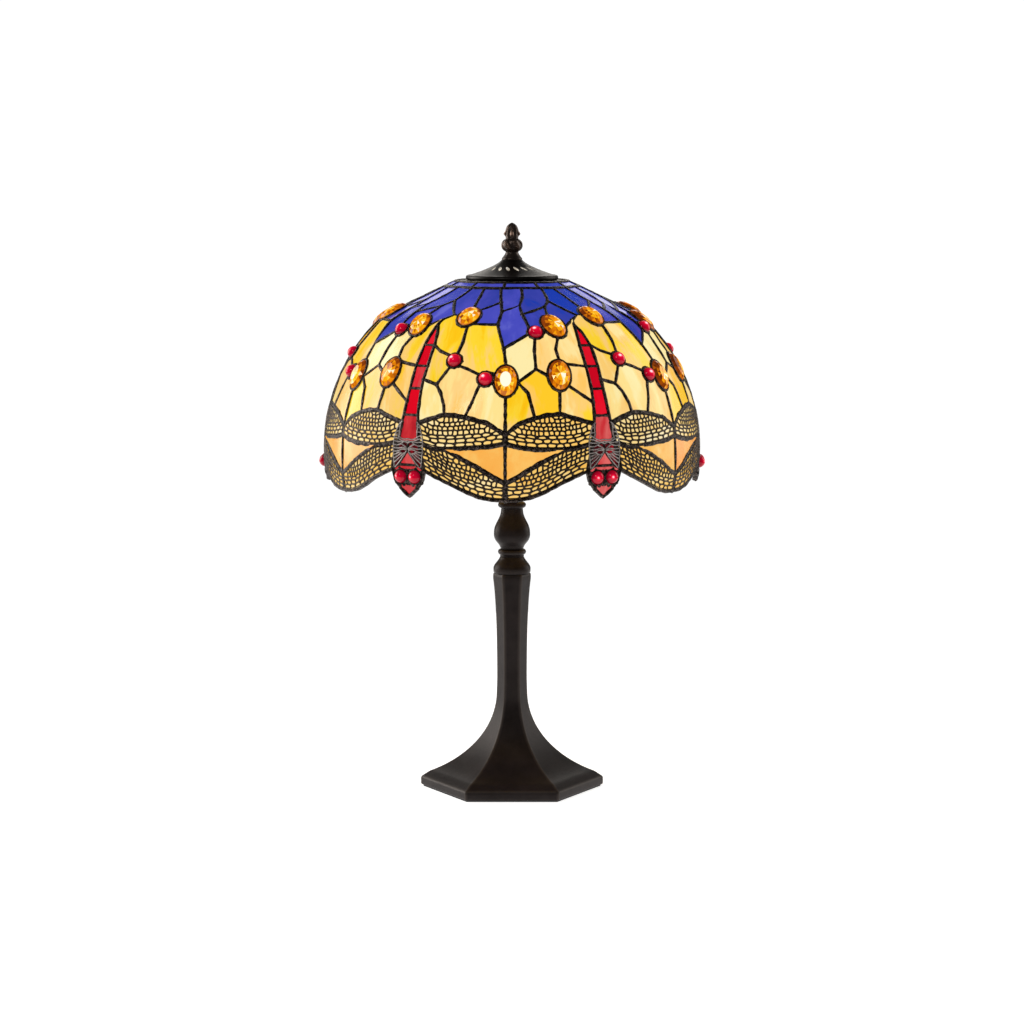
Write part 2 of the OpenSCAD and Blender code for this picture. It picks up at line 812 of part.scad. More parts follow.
vent_count = 18;
vent_ring_r = 29;
vent_r = 1.8;
module heat_cap() {
    dish = curve([11, cap_top_z], [16, 563.5], [30, 558.5], [44, 554.5], 10);
    count = len(dish);
    color("#1d1917")
        difference() {
            rotate_extrude()
                polygon(concat(
                    [[rod_r + fit, cap_top_z]],
                    dish,
                    bead_down(45.6, 551.8, 2.7),
                    [[48, 548], [ring_out_r + 0.6, 547], [ring_out_r + 0.6, cap_base_z],
                        [48, cap_base_z], [43, 549]],
                    [for (i = [count - 1:-1:1]) dish[i] - [1, cap_t]],
                    [[9, cap_top_z - 2.5], [rod_r + fit, cap_top_z - 2.5]]
                ));
            for (k = [0:vent_count - 1])
                rotate([0, 0, k * 360 / vent_count])
                    translate([vent_ring_r, 0, cap_base_z])
                        cylinder(h = 30, r = vent_r, $fn = 24);
        }
}

// Points of a rolled edge, taken from its top round to its underside
function bead_down(r, z, bulge, steps = 8) =
    [for (i = [0:steps]) let (a = 80 - 150 * i / steps) [r + bulge * cos(a), z + bulge * sin(a)]];

// Foot, waist, ball, waist and acorn of the finial
module finial() {
    z = cap_top_z;
    color("#1d1917")
        difference() {
            rotate_extrude()
                polygon(concat(
                    [[0, z], [11, z], [11.2, z + 2]],
                    curve([10, z + 3], [8.6, z + 4], [7.8, z + 6], [7.8, z + 8.5], 5),
                    bead(7.8, z + 15.6, 3.4, 8),
                    curve([8, z + 23], [8.8, z + 24.5], [9.2, z + 27], [8.4, z + 30.5], 6),
                    curve([8, z + 32], [6.4, z + 36.5], [3, z + 39], [0, z + 39.6], 6)
                ));
            translate([0, 0, z - 1])
                cylinder(h = rod_top_z - z + 1.5, r = insert_r + fit / 3);
        }
}

// Threaded brass insert inside the finial
insert_r = 6.4;
module finial_insert() {
    color("#c8a24a")
        tube(cap_top_z + 0.5, rod_top_z, insert_r, rod_r + fit / 3);
}

// ---- Glass ----

module band_panes() {
    color("#3f3fae")
        for (k = [0:band_count - 1])
            rotate([0, 0, k * band_step + shade_turn])
                panes([band_outline]);
}

module blue_panes() {
    color("#4646b8")
        repeat_around() panes(blue_outlines);
}

module gold_panes() {
    color("#f6b62a")
        repeat_around() panes(gold_outlines);
}

module cream_panes() {
    color("#fbd98a")
        repeat_around() panes(cream_outlines);
}

module peach_panes() {
    color("#fba24a")
        repeat_around() panes(peach_outlines);
}

module tail_panes() {
    color("#d2122c")
        repeat_around() panes(tail_outlines);
}

module body_panes() {
    color("#b83038")
        repeat_around() panes(concat(body_outlines, head_outlines));
}

module upper_wing_panes() {
    color("#f4c766")
        repeat_around() panes(upper_wings);
}

module lower_wing_panes() {
    color("#f0b85c")
        repeat_around() panes(lower_wings);
}

module upper_filigree() {
    color("#4b433a")
        repeat_around() filigree(upper_wings);
}

module lower_filigree() {
    color("#4b433a")
        repeat_around() filigree(lower_wings);
}

// Open triangular frames of wire over the thorax, one on each side
lace_inset = 2.6;
lace_wire = 1.3;
module thorax_lace() {
    color("#6d6a68")
        repeat_around()
            for (outline = [body_outlines[1], body_outlines[2]]) {
                points = [for (p = outline) on_shade(p)];
                frame = pane_frame(points);
                ring = flat(points, frame);
                in_frame(frame)
                    linear_extrude(filigree_t)
                        polygon(
                            concat(shrunk(ring, lace_inset), shrunk(ring, lace_inset + lace_wire)),
                            [[0, 1, 2, 3, 4], [5, 6, 7, 8, 9]]
                        );
            }
}

// Faceted oval jewel: a crown on the outside and a shallow back
jewel_sides = 12;
jewel_crown_h = 6;
jewel_back_h = 3;
jewel_gap = 0.6;
module jewel(oval) {
    outline = [for (i = [0:jewel_sides - 1]) let (a = 360 * i / jewel_sides)
        [(oval[1] - jewel_gap) * cos(a), (oval[2] - jewel_gap) * sin(a)]];
    in_frame(surface_frame(oval[0]))
        rotate([0, 0, -oval[3]])
            union() {
                linear_extrude(jewel_crown_h, scale = 0.5)
                    polygon(outline);
                mirror([0, 0, 1])
                    linear_extrude(jewel_back_h, scale = 0.6)
                        polygon(outline);
            }
}

module amber_jewels() {
    color("#d9820f")
        repeat_around()
            for (oval = [seam_jewel, left_jewel, right_jewel, low_jewel])
                jewel(oval);
}

// Smooth round stone: part of a ball on a flat back
stone_back = 1.5;
module stone(oval) {
    ball_r = oval[1] - 0.7;
    in_frame(surface_frame(oval[0]))
        difference() {
            sphere(r = ball_r, $fn = 32);
            translate([0, 0, -ball_r - stone_back])
                cube(2 * ball_r, center = true);
        }
}

module ruby_stones() {
    color("#c8102e")
        repeat_around()
            for (oval = [stone_a, stone_b, stone_c])
                stone(oval);
}

module dragonfly_eyes() {
    color("#c8102e")
        repeat_around()
            for (oval = [left_eye, right_eye])
                stone(oval);
}

module upper_leads() {
    color("#241f1c") {
        repeat_around() leads(blue_outlines);
        for (k = [0:band_count - 1])
            rotate([0, 0, k * band_step + shade_turn])
                leads([band_outline]);
    }
}

module middle_leads() {
    color("#241f1c")
        repeat_around() leads(concat(gold_outlines, cream_outlines, tail_outlines));
}

module lower_leads() {
    color("#241f1c")
        repeat_around() {
            leads(concat(peach_outlines, body_outlines, upper_wings, lower_wings));
            leads(head_outlines, head_lead_half);
        }
}

felt_pad();
bottom_cover();
cover_screws();
ballast_weight();
stand_casting();
cord_bush();
lower_pipe();
base_nut();
base_washer();
neck_collar();
turned_spindle();
sleeve_tube();
cluster_hub();
hub_lid();
holder_arms();
holder_cap(0);  // holder_cap_front
holder_cap(1);  // holder_cap_rear
holder_shell(0);  // holder_shell_front
holder_shell(1);  // holder_shell_rear
screw_shell(0);  // screw_shell_front
screw_shell(1);  // screw_shell_rear
holder_insulators();
holder_contacts();
holder_ring(0);  // holder_ring_front
holder_ring(1);  // holder_ring_rear
bulb_cap(0);  // bulb_cap_front
bulb_cap(1);  // bulb_cap_rear
bulb_glass(0);  // bulb_glass_front
bulb_glass(1);  // bulb_glass_rear
bulb_stem(0);  // bulb_stem_front
bulb_stem(1);  // bulb_stem_rear
upper_rod();
rest_nut();
rest_washer();
shade_spider();
shade_ring();
band_panes();
blue_panes();
gold_panes();
cream_panes();
peach_panes();
tail_panes();
body_panes();
upper_wing_panes();
lower_wing_panes();
upper_filigree();
lower_filigree();
thorax_lace();
amber_jewels();
ruby_stones();
dragonfly_eyes();
upper_leads();
middle_leads();
lower_leads();
heat_cap();
finial();
finial_insert();
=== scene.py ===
# Looks of the stained glass table lamp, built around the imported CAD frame.
# Lengths are in metres, angles around the lamp are in degrees from the front (-Y) towards +X.
import bpy
import bmesh
import json
import math
import random
from mathutils import Matrix, Vector, noise
from mathutils.geometry import delaunay_2d_cdt


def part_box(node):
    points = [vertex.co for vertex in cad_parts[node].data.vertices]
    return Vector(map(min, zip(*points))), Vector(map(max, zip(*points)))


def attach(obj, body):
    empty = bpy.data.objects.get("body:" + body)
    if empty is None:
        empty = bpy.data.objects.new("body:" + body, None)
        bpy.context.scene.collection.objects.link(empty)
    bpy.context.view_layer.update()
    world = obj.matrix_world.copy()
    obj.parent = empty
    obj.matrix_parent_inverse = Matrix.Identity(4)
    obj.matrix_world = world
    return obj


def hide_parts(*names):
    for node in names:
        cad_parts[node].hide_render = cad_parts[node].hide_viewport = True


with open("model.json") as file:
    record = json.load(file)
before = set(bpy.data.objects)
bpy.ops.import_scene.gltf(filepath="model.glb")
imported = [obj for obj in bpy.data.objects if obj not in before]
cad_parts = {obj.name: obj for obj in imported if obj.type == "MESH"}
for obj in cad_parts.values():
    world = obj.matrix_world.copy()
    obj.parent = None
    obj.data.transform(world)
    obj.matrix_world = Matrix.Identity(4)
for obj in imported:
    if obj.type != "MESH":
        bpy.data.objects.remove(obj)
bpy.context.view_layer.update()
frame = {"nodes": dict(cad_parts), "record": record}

MM = 0.001
REPEATS = 6
STEP = 360 / REPEATS
BODY = STEP / 2           # The body of a repeat's dragonfly is midway between two seams
SHADE_TURN = -2           # The pattern's own zero lies this far round from the front of the lamp


# ---- Shade profile: a cone, then three arcs, by length along the glass ----

CONE_SLOPE, KNEE_SLOPE, UPRIGHT = (math.radians(degrees) for degrees in (25.5, 46, 90))
TOP_R, TOP_Z, CONE_LENGTH = 60 * MM, 547 * MM, 71 * MM
KNEE_R, DOME_R, SKIRT_R = 80 * MM, 188.5 * MM, 180 * MM


def arc_from(start, radius, slope, to_slope):
    """Radius and height at slope to_slope on an arc that leaves start at slope."""
    return (start[0] + radius * (math.sin(to_slope) - math.sin(slope)),
            start[1] + radius * (math.cos(to_slope) - math.cos(slope)))


DOME_S = CONE_LENGTH + KNEE_R * (KNEE_SLOPE - CONE_SLOPE)
SKIRT_S = DOME_S + DOME_R * (UPRIGHT - KNEE_SLOPE)
KNEE_START = (TOP_R + CONE_LENGTH * math.cos(CONE_SLOPE), TOP_Z - CONE_LENGTH * math.sin(CONE_SLOPE))
DOME_START = arc_from(KNEE_START, KNEE_R, CONE_SLOPE, KNEE_SLOPE)
SKIRT_START = arc_from(DOME_START, DOME_R, KNEE_SLOPE, UPRIGHT)


def profile(s):
    """Radius, height and slope of the glass at length s from its top edge."""
    if s < CONE_LENGTH:
        return (TOP_R + s * math.cos(CONE_SLOPE), TOP_Z - s * math.sin(CONE_SLOPE), CONE_SLOPE)
    if s < DOME_S:
        start, radius, slope, begin = KNEE_START, KNEE_R, CONE_SLOPE, CONE_LENGTH
    elif s < SKIRT_S:
        start, radius, slope, begin = DOME_START, DOME_R, KNEE_SLOPE, DOME_S
    else:
        start, radius, slope, begin = SKIRT_START, SKIRT_R, UPRIGHT, SKIRT_S
    here = slope + (s - begin) / radius
    return arc_from(start, radius, slope, here) + (here,)


PROFILE_STEP = 0.5 * MM
PROFILE_FIRST, PROFILE_END = -8, 580      # In steps from the shade's top edge
PROFILE = [profile(i * PROFILE_STEP) for i in range(PROFILE_FIRST, PROFILE_END)]


def round_lamp(r, angle, z):
    """Point at a radius and height around the lamp's axis. The angle is in radians."""
    return Vector((r * math.sin(angle), -r * math.cos(angle), z))


def surface_normal(angle, s):
    slope = profile(s)[2]
    return round_lamp(math.sin(slope), math.radians(angle + SHADE_TURN), math.cos(slope))


def on_shade(angle, s, lift=0.0):
    """Point at a place of the pattern, raised from the surface by lift."""
    r, z, _ = profile(s)
    return round_lamp(r, math.radians(angle + SHADE_TURN), z) + surface_normal(angle, s) * lift


def pattern_place(point):
    """Angle, length s and height above the surface of a point near the shade."""
    r = math.hypot(point.x, point.y)
    best = min(range(len(PROFILE)), key=lambda i: (PROFILE[i][0] - r) ** 2 + (PROFILE[i][1] - point.z) ** 2)
    pr, pz, slope = PROFILE[best]
    s = (best + PROFILE_FIRST) * PROFILE_STEP
    s += (r - pr) * math.cos(slope) - (point.z - pz) * math.sin(slope)
    height = (r - pr) * math.sin(slope) + (point.z - pz) * math.cos(slope)
    angle = math.degrees(math.atan2(point.x, -point.y)) - SHADE_TURN
    return (angle + 180) % 360 - 180, s, height


def surface_frame(angle, s):
    """Centre, across, up and out at a pattern place."""
    a = math.radians(angle + SHADE_TURN)
    across = Vector((math.cos(a), math.sin(a), 0))
    out = surface_normal(angle, s)
    return on_shade(angle, s), across, out.cross(across), out


# ---- Mesh helpers ----

def turns(count, offset=0.0):
    """Angles of count even steps of a full turn, in radians."""
    return [2 * math.pi * (k + offset) / count for k in range(count)]


def linked(name, data):
    obj = bpy.data.objects.new(name, data)
    bpy.context.scene.collection.objects.link(obj)
    return obj


class Builder:
    """Collects vertices and faces, with a tone for each face and a flat texture place for each corner."""

    def __init__(self):
        self.points, self.faces, self.tones, self.places, self.flat = [], [], [], [], []
        self.point_tones = {}

    def add_points(self, points):
        first = len(self.points)
        self.points.extend(tuple(p) for p in points)
        return first

    def add_face(self, indices, tone=(0.5, 0.5, 0.5), places=None, flat=False):
        self.faces.append(tuple(indices))
        self.tones.append(tone)
        self.places.append(places or [(0.0, 0.0)] * len(indices))
        self.flat.append(flat)

    def grid(self, rows, closed=False):
        """Skins rows of points of equal length. closed joins the end of each row to its start."""
        width = len(rows[0])
        first = self.add_points([p for row in rows for p in row])
        for i in range(len(rows) - 1):
            for j in range(width if closed else width - 1):
                k = (j + 1) % width
                self.add_face((first + i * width + j, first + i * width + k,
                               first + (i + 1) * width + k, first + (i + 1) * width + j))
        return first

    def shell(self, rows, levels):
        """Closed grid with a grey tone for each point."""
        first = self.grid(rows, closed=True)
        for i, level in enumerate(value for row in levels for value in row):
            self.point_tones[first + i] = (level,) * 3
        return first

    def end_faces(self, first, count, width):
        """Closes the first and last of count rows, which grid skinned from index first."""
        for start in (first, first + (count - 1) * width):
            self.add_face(range(start, start + width))

    def fan(self, last, width, point):
        """Closes a row of width points that starts at index last with a fan to one more point."""
        top = self.add_points([point])
        for k in range(width):
            self.add_face((last + k, last + (k + 1) % width, top))
        return top

    def mesh(self, name, mat, sharp):
        """The mesh of all that was added. Edges over sharp degrees stay sharp, or none if it is 0."""
        mesh = bpy.data.meshes.new(name)
        mesh.from_pydata(self.points, [], self.faces)
        tone = mesh.color_attributes.new("tone", "FLOAT_COLOR", "CORNER")
        uv = mesh.uv_layers.new(name="place")
        for polygon, value, places, flat in zip(mesh.polygons, self.tones, self.places, self.flat):
            polygon.use_smooth = not flat
            for k, loop in enumerate(polygon.loop_indices):
                shown = self.point_tones.get(polygon.vertices[k], value)
                tone.data[loop].color = (*shown, 1.0)
                uv.data[loop].uv = places[k]
        bm = bmesh.new()
        bm.from_mesh(mesh)
        bmesh.ops.recalc_face_normals(bm, faces=bm.faces)
        bm.to_mesh(mesh)
        bm.free()
        if sharp:
            mesh.set_sharp_from_angle(angle=math.radians(sharp))
        mesh.materials.append(mat)
        return mesh

    def piece(self, name, mat, body, slot_name, *replaced, sharp=50):
        """Makes the piece, which rides a body and stands for the CAD nodes that it replaces."""
        obj = linked(name, self.mesh(name, mat, sharp))
        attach(obj, body)
        if replaced:
            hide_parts(*replaced)


# ---- Node helpers ----

def material(name):
    mat = bpy.data.materials.new(name)
    mat.use_nodes = True
    tree = mat.node_tree
    tree.nodes.clear()
    shader = node(tree, "ShaderNodeBsdfPrincipled")
    join(tree, shader.outputs["BSDF"], node(tree, "ShaderNodeOutputMaterial").inputs["Surface"])
    return mat, tree, shader


def set_inputs(made, **values):
    """Sets inputs by name, with _ for a space."""
    for key, value in values.items():
        made.inputs[key.replace("_", " ")].default_value = value


def node(tree, kind, **values):
    """Adds a node. Names with the form in_Name set an input, any other sets a property."""
    made = tree.nodes.new(kind)
    for key, value in values.items():
        if key.startswith("in_"):
            set_inputs(made, **{key[3:]: value})
        else:
            setattr(made, key, value)
    return made


def join(tree, a, b):
    tree.links.new(a, b)


def object_place(tree):
    return node(tree, "ShaderNodeTexCoord").outputs["Object"]


def tone_parts(tree):
    """Red, green and blue of the tone attribute."""
    parts = node(tree, "ShaderNodeSeparateColor")
    join(tree, node(tree, "ShaderNodeVertexColor", layer_name="tone").outputs["Color"], parts.inputs["Color"])
    return parts.outputs


def ramp(tree, fac, stops, smooth=False):
    """Colour ramp from (place, colour) pairs."""
    made = node(tree, "ShaderNodeValToRGB")
    made.color_ramp.interpolation = "EASE" if smooth else "LINEAR"
    elements = made.color_ramp.elements
    while len(elements) < len(stops):
        elements.new(0.5)
    for element, (place, colour) in zip(elements, stops):
        element.position = place
        element.color = (*colour, 1.0)
    join(tree, fac, made.inputs["Fac"])
    return made.outputs["Color"]


def feed(tree, socket, value):
    """Gives a socket a number, a colour or a link."""
    if isinstance(value, (int, float)):
        socket.default_value = value
    elif isinstance(value, tuple):
        socket.default_value = (*value, 1.0)
    else:
        join(tree, value, socket)


def math_node(tree, operation, a, b):
    made = node(tree, "ShaderNodeMath", operation=operation)
    feed(tree, made.inputs[0], a)
    feed(tree, made.inputs[1], b)
    return made.outputs[0]


def times(tree, a, b):
    return math_node(tree, "MULTIPLY", a, b)


def plus(tree, a, b):
    return math_node(tree, "ADD", a, b)


def mix_colours(tree, fac, a, b, blend="MIX"):
    made = node(tree, "ShaderNodeMix", data_type="RGBA", blend_type=blend)
    for i, value in ((0, fac), (6, a), (7, b)):
        feed(tree, made.inputs[i], value)
    return made.outputs[2]


def noise_texture(tree, vector, scale, detail, roughness=0.55, distortion=0.0):
    made = node(tree, "ShaderNodeTexNoise", in_Scale=scale, in_Detail=detail, in_Roughness=roughness,
                in_Distortion=distortion)
    join(tree, vector, made.inputs["Vector"])
    return made.outputs["Fac"]


def bump(tree, shader, height, strength, distance):
    made = node(tree, "ShaderNodeBump", in_Strength=strength, in_Distance=distance)
    join(tree, height, made.inputs["Height"])
    join(tree, made.outputs["Normal"], shader.inputs["Normal"])


# ---- Materials ----

BULBS = [Vector((0, y * MM, 440 * MM)) for y in (-88, 88)]


def glow_at(tree, reach, floor):
    """Brightness that falls off with distance from the nearer bulb, down to floor."""
    where = object_place(tree)
    lengths = []
    for place in BULBS:
        gap = node(tree, "ShaderNodeVectorMath", operation="DISTANCE")
        gap.inputs[1].default_value = place
        join(tree, where, gap.inputs[0])
        lengths.append(gap.outputs["Value"])
    ratio = math_node(tree, "DIVIDE", math_node(tree, "MINIMUM", *lengths), reach)
    square = times(tree, ratio, ratio)
    fall = math_node(tree, "DIVIDE", 1.0, plus(tree, square, 1.0))
    return plus(tree, fall, floor)


def streaked(tree, stops, stretch, amount):
    """Colour of streaky art glass: a ramp over stretched noise, shifted by the pane's own tone."""
    uv = node(tree, "ShaderNodeUVMap", uv_map="place").outputs["UV"]
    parts = tone_parts(tree)
    spread = node(tree, "ShaderNodeMapping", in_Scale=(*stretch, 1.0))
    join(tree, uv, spread.inputs["Vector"])
    broad = noise_texture(tree, spread.outputs["Vector"], 1.0, 3.0, 0.5, 0.6)
    fine = noise_texture(tree, spread.outputs["Vector"], 4.5, 5.0, 0.6, 1.2)
    both = plus(tree, times(tree, broad, 0.82), times(tree, fine, 0.18))
    centred = times(tree, math_node(tree, "SUBTRACT", both, 0.5), amount)
    return ramp(tree, plus(tree, centred, parts["Red"]), stops, smooth=True), parts, fine


def dimmed(tree, colour):
    """Base colour of glass that gets most of its light from its own glow."""
    return mix_colours(tree, 0.85, colour, (0.0, 0.0, 0.0))


def glass_material(name, stretch, amount, value_swing, stops):
    """Streaky opal glass, lit from behind by the bulbs."""
    mat, tree, shader = material(name)
    colour, parts, fine = streaked(tree, stops, stretch, amount)
    value = plus(tree, times(tree, parts["Green"], value_swing), 1.0 - value_swing / 2)
    lit = times(tree, glow_at(tree, 0.32, 0.72), value)
    shade = node(tree, "ShaderNodeCombineColor")
    for socket in shade.inputs[:3]:
        join(tree, lit, socket)
    join(tree, mix_colours(tree, 1.0, colour, shade.outputs["Color"], "MULTIPLY"), shader.inputs["Emission Color"])
    join(tree, dimmed(tree, colour), shader.inputs["Base Color"])
    set_inputs(shader, Emission_Strength=0.6, Roughness=0.2, Specular_IOR_Level=0.3)
    bump(tree, shader, fine, 0.18, 0.0008)
    return mat


def stone_material(name, stops, boost):
    """Clear coloured glass of a jewel. Its facets have their own tones, which are painted reflections, highlights
    and shade, and it is lit from behind.
    """
    mat, tree, shader = material(name)
    parts = tone_parts(tree)
    cloud = noise_texture(tree, object_place(tree), 160.0, 3.0, 0.5, 0.4)
    swing = times(tree, math_node(tree, "SUBTRACT", cloud, 0.5), 0.3)
    near = times(tree, glow_at(tree, 0.06, 0.0), boost)
    place = plus(tree, plus(tree, parts["Red"], swing), near)
    colour = ramp(tree, place, stops)
    join(tree, colour, shader.inputs["Emission Color"])
    join(tree, dimmed(tree, colour), shader.inputs["Base Color"])
    set_inputs(shader, Emission_Strength=1.0, Roughness=0.04, Specular_IOR_Level=0.3)
    return mat


def metal_material(name, dark, light, scale, rough, metallic, grain, specular, rough_swing=0.2,
                   wear=None, span=(0.3, 0.72), lit=None):
    """Patinated metal with mottled colour. Where the tone attribute is red it is worn, where green it is lit."""
    mat, tree, shader = material(name)
    where = object_place(tree)
    mottle = noise_texture(tree, where, scale, 6.0, 0.6)
    fine = noise_texture(tree, where, scale * 14, 3.0, 0.6)
    colour = ramp(tree, mottle, [(span[0], dark), (span[1], light)])
    if lit:
        join(tree, mix_colours(tree, tone_parts(tree)["Green"], (0.0, 0.0, 0.0), lit),
             shader.inputs["Emission Color"])
        set_inputs(shader, Emission_Strength=1.0)
    if wear:
        rubbed = times(tree, tone_parts(tree)["Red"], plus(tree, mottle, 0.35))
        colour = mix_colours(tree, rubbed, colour, wear)
    join(tree, colour, shader.inputs["Base Color"])
    level = plus(tree, times(tree, fine, rough_swing), rough - rough_swing / 2)
    join(tree, level, shader.inputs["Roughness"])
    set_inputs(shader, Metallic=metallic, Specular_IOR_Level=specular)
    bump(tree, shader, plus(tree, fine, mottle), grain, 0.0004)
    return mat


def plain_material(name, colour, rough, scale, swing, metallic, emission):
    """Small hidden pieces: one colour with a fine mottle and a slight grain."""
    mat, tree, shader = material(name)
    fine = noise_texture(tree, object_place(tree), scale, 4.0, 0.6)
    darker = tuple(c * (1 - swing) for c in colour)
    lighter = tuple(min(1.0, c * (1 + swing)) for c in colour)
    shown = ramp(tree, fine, [(0.3, darker), (0.7, lighter)])
    join(tree, shown, shader.inputs["Base Color"])
    set_inputs(shader, Roughness=rough, Metallic=metallic)
    if emission:
        join(tree, shown, shader.inputs["Emission Color"])
        set_inputs(shader, Emission_Strength=emission)
    bump(tree, shader, fine, 0.15, 0.0002)
    return mat


# Stretch of the streaks, their strength, swing of the panes' brightness and colour stops
GLASS_LOOKS = {
    "blue_glass": ((50, 22), 1.5, 0.2, (
        (0.0, (0.004, 0.038, 0.43)), (0.25, (0.030, 0.046, 0.38)), (0.6, (0.058, 0.064, 0.47)),
        (1.0, (0.12, 0.13, 0.57)))),
    "gold_glass": ((46, 12), 2.3, 0.08, (
        (0.0, (0.97, 0.42, 0.004)), (0.25, (0.97, 0.56, 0.006)), (0.5, (0.97, 0.65, 0.03)),
        (0.75, (0.97, 0.61, 0.17)), (1.0, (0.98, 0.76, 0.32)))),
    "cream_glass": ((46, 12), 2.3, 0.08, (
        (0.0, (0.97, 0.57, 0.02)), (0.25, (0.97, 0.56, 0.12)), (0.5, (0.98, 0.64, 0.22)),
        (0.75, (0.98, 0.74, 0.27)), (1.0, (0.98, 0.83, 0.40)))),
    "peach_glass": ((60, 40), 1.6, 0.08, (
        (0.0, (0.93, 0.34, 0.04)), (0.4, (0.94, 0.44, 0.08)), (0.7, (0.94, 0.52, 0.12)),
        (1.0, (0.95, 0.64, 0.24)))),
    "red_glass": ((80, 20), 1.0, 0.15, (
        (0.0, (0.55, 0.0, 0.012)), (0.5, (0.76, 0.0, 0.013)), (0.8, (0.76, 0.008, 0.025)),
        (1.0, (0.62, 0.05, 0.055)))),
    "dull_red_glass": ((110, 30), 1.0, 0.08, (
        (0.0, (0.06, 0.002, 0.005)), (0.35, (0.42, 0.010, 0.018)), (0.65, (0.60, 0.028, 0.036)),
        (1.0, (0.72, 0.14, 0.13)))),
    "wing_glass": ((26, 80), 1.6, 0.08, (
        (0.0, (0.93, 0.46, 0.06)), (0.4, (0.96, 0.60, 0.15)), (0.7, (0.97, 0.71, 0.28)),
        (1.0, (0.98, 0.84, 0.50)))),
}
GLASS = {slot_name: glass_material(slot_name, *look) for slot_name, look in GLASS_LOOKS.items()}
AMBER = stone_material("amber", (
    (0.0, (0.05, 0.006, 0.0)), (0.25, (0.26, 0.045, 0.001)), (0.5, (0.80, 0.22, 0.001)),
    (0.72, (0.98, 0.46, 0.004)), (0.88, (1.0, 0.68, 0.06)), (1.0, (1.0, 0.95, 0.74))), 0.6)
RUBY = stone_material("ruby", (
    (0.0, (0.09, 0.0, 0.006)), (0.35, (0.55, 0.0, 0.022)), (0.65, (0.80, 0.002, 0.035)),
    (0.8, (0.95, 0.10, 0.16)), (1.0, (1.0, 0.80, 0.84))), 0.05)
SOLDER = metal_material(
    "solder", (0.006, 0.003, 0.0016), (0.20, 0.155, 0.14), 330, 0.32, 0.75, 0.7, 0.5,
    rough_swing=0.3, span=(0.46, 0.74))
FILIGREE = metal_material("filigree", (0.018, 0.011, 0.007), (0.085, 0.060, 0.043), 260, 0.4, 0.8, 0.3, 0.4)
LACE = metal_material("lace_wire", (0.26, 0.235, 0.225), (0.62, 0.57, 0.545), 300, 0.4, 0.6, 0.25, 0.5)
BRONZE = metal_material(
    "bronze", (0.0105, 0.0078, 0.0075), (0.025, 0.0195, 0.019), 34, 0.4, 0.3, 0.12, 0.13,
    wear=(0.062, 0.052, 0.047))
FINIAL_BRONZE = metal_material(
    "finial_bronze", (0.026, 0.017, 0.013), (0.075, 0.052, 0.041), 120, 0.3, 0.6, 0.2, 0.5,
    wear=(0.26, 0.16, 0.11))
DARKEST, DARK = (0.004, 0.003, 0.0025), (0.014, 0.010, 0.008)
BLACK_BRONZE = metal_material("black_bronze", DARKEST, DARK, 60, 0.38, 0.4, 0.2, 0.3, wear=(0.075, 0.045, 0.032))
CAP_BRONZE = metal_material("cap_bronze", DARKEST, DARK, 60, 0.38, 0.4, 0.2, 0.3, lit=(0.72, 0.66, 0.55))

# Colour, roughness, scale and swing of the mottle, metallic and emission of the smaller slots
PLAIN_LOOKS = {
    "felt": ((0.012, 0.012, 0.013), 0.95, 900, 0.5, 0, 0),
    "steel_dark": ((0.05, 0.047, 0.044), 0.5, 300, 0.15, 0.6, 0),
    "iron": ((0.06, 0.055, 0.05), 0.7, 200, 0.3, 0.5, 0),
    "zinc": ((0.55, 0.53, 0.50), 0.35, 300, 0.15, 0.9, 0),
    "rubber": ((0.02, 0.02, 0.02), 0.7, 300, 0.15, 0, 0),
    "brass_aged": ((0.36, 0.25, 0.11), 0.4, 120, 0.3, 0.9, 0),
    "brass": ((0.75, 0.52, 0.2), 0.3, 150, 0.15, 0.9, 0),
    "ceramic": ((0.85, 0.82, 0.75), 0.25, 300, 0.15, 0, 0),
    "bulb_metal": ((0.7, 0.68, 0.66), 0.35, 300, 0.15, 0.9, 0),
    "bulb_glass": ((1.0, 0.80, 0.50), 0.4, 60, 0.06, 0, 1.7),
    "bulb_stem": ((1.0, 0.8, 0.5), 0.4, 60, 0.04, 0, 2.0),
}
SLOTS = {slot_name: plain_material(slot_name, *look) for slot_name, look in PLAIN_LOOKS.items()}
SLOTS.update(bronze=BRONZE, black_bronze=BLACK_BRONZE, solder=SOLDER, filigree=FILIGREE)


def dress_frame():
    """Gives each CAD node that stays the material of its slot."""
    for sub in frame["record"]["subparts"]:
        mat = SLOTS.get(sub["material_slot"])
        if mat:
            slots = frame["nodes"][sub["node"]].data.materials
            slots.clear()
            slots.append(mat)


# ---- Outlines of the panes, read from the CAD nodes ----

OUTWARD = Vector((1, 1, 0.3))             # Weights that turn a place on the shade into an outward direction
PANE_GAP = 0.5 * MM       # A CAD pane stops this far from the middle of its lead line
SAME_PLACE = 1.7 * MM     # Corners closer than this are one junction
GLASS_T = 3 * MM


def centre_of(points):
    return sum(points, Vector()) / len(points)


def around_ring(ring):
    """Pairs of neighbours on a closed ring."""
    return zip(ring, ring[1:] + ring[:1])


def shifted(ring, sideways, by, least):
    """A ring with every edge moved sideways. least keeps the corner of a sharp turn from running away."""
    out = []
    for before, point, after in zip(ring[-1:] + ring[:-1], ring, ring[1:] + ring[:1]):
        m, n = sideways((point - before).normalized()), sideways((after - point).normalized())
        out.append(point + (m + n) * by / max(least, 1 + m.dot(n)))
    return out


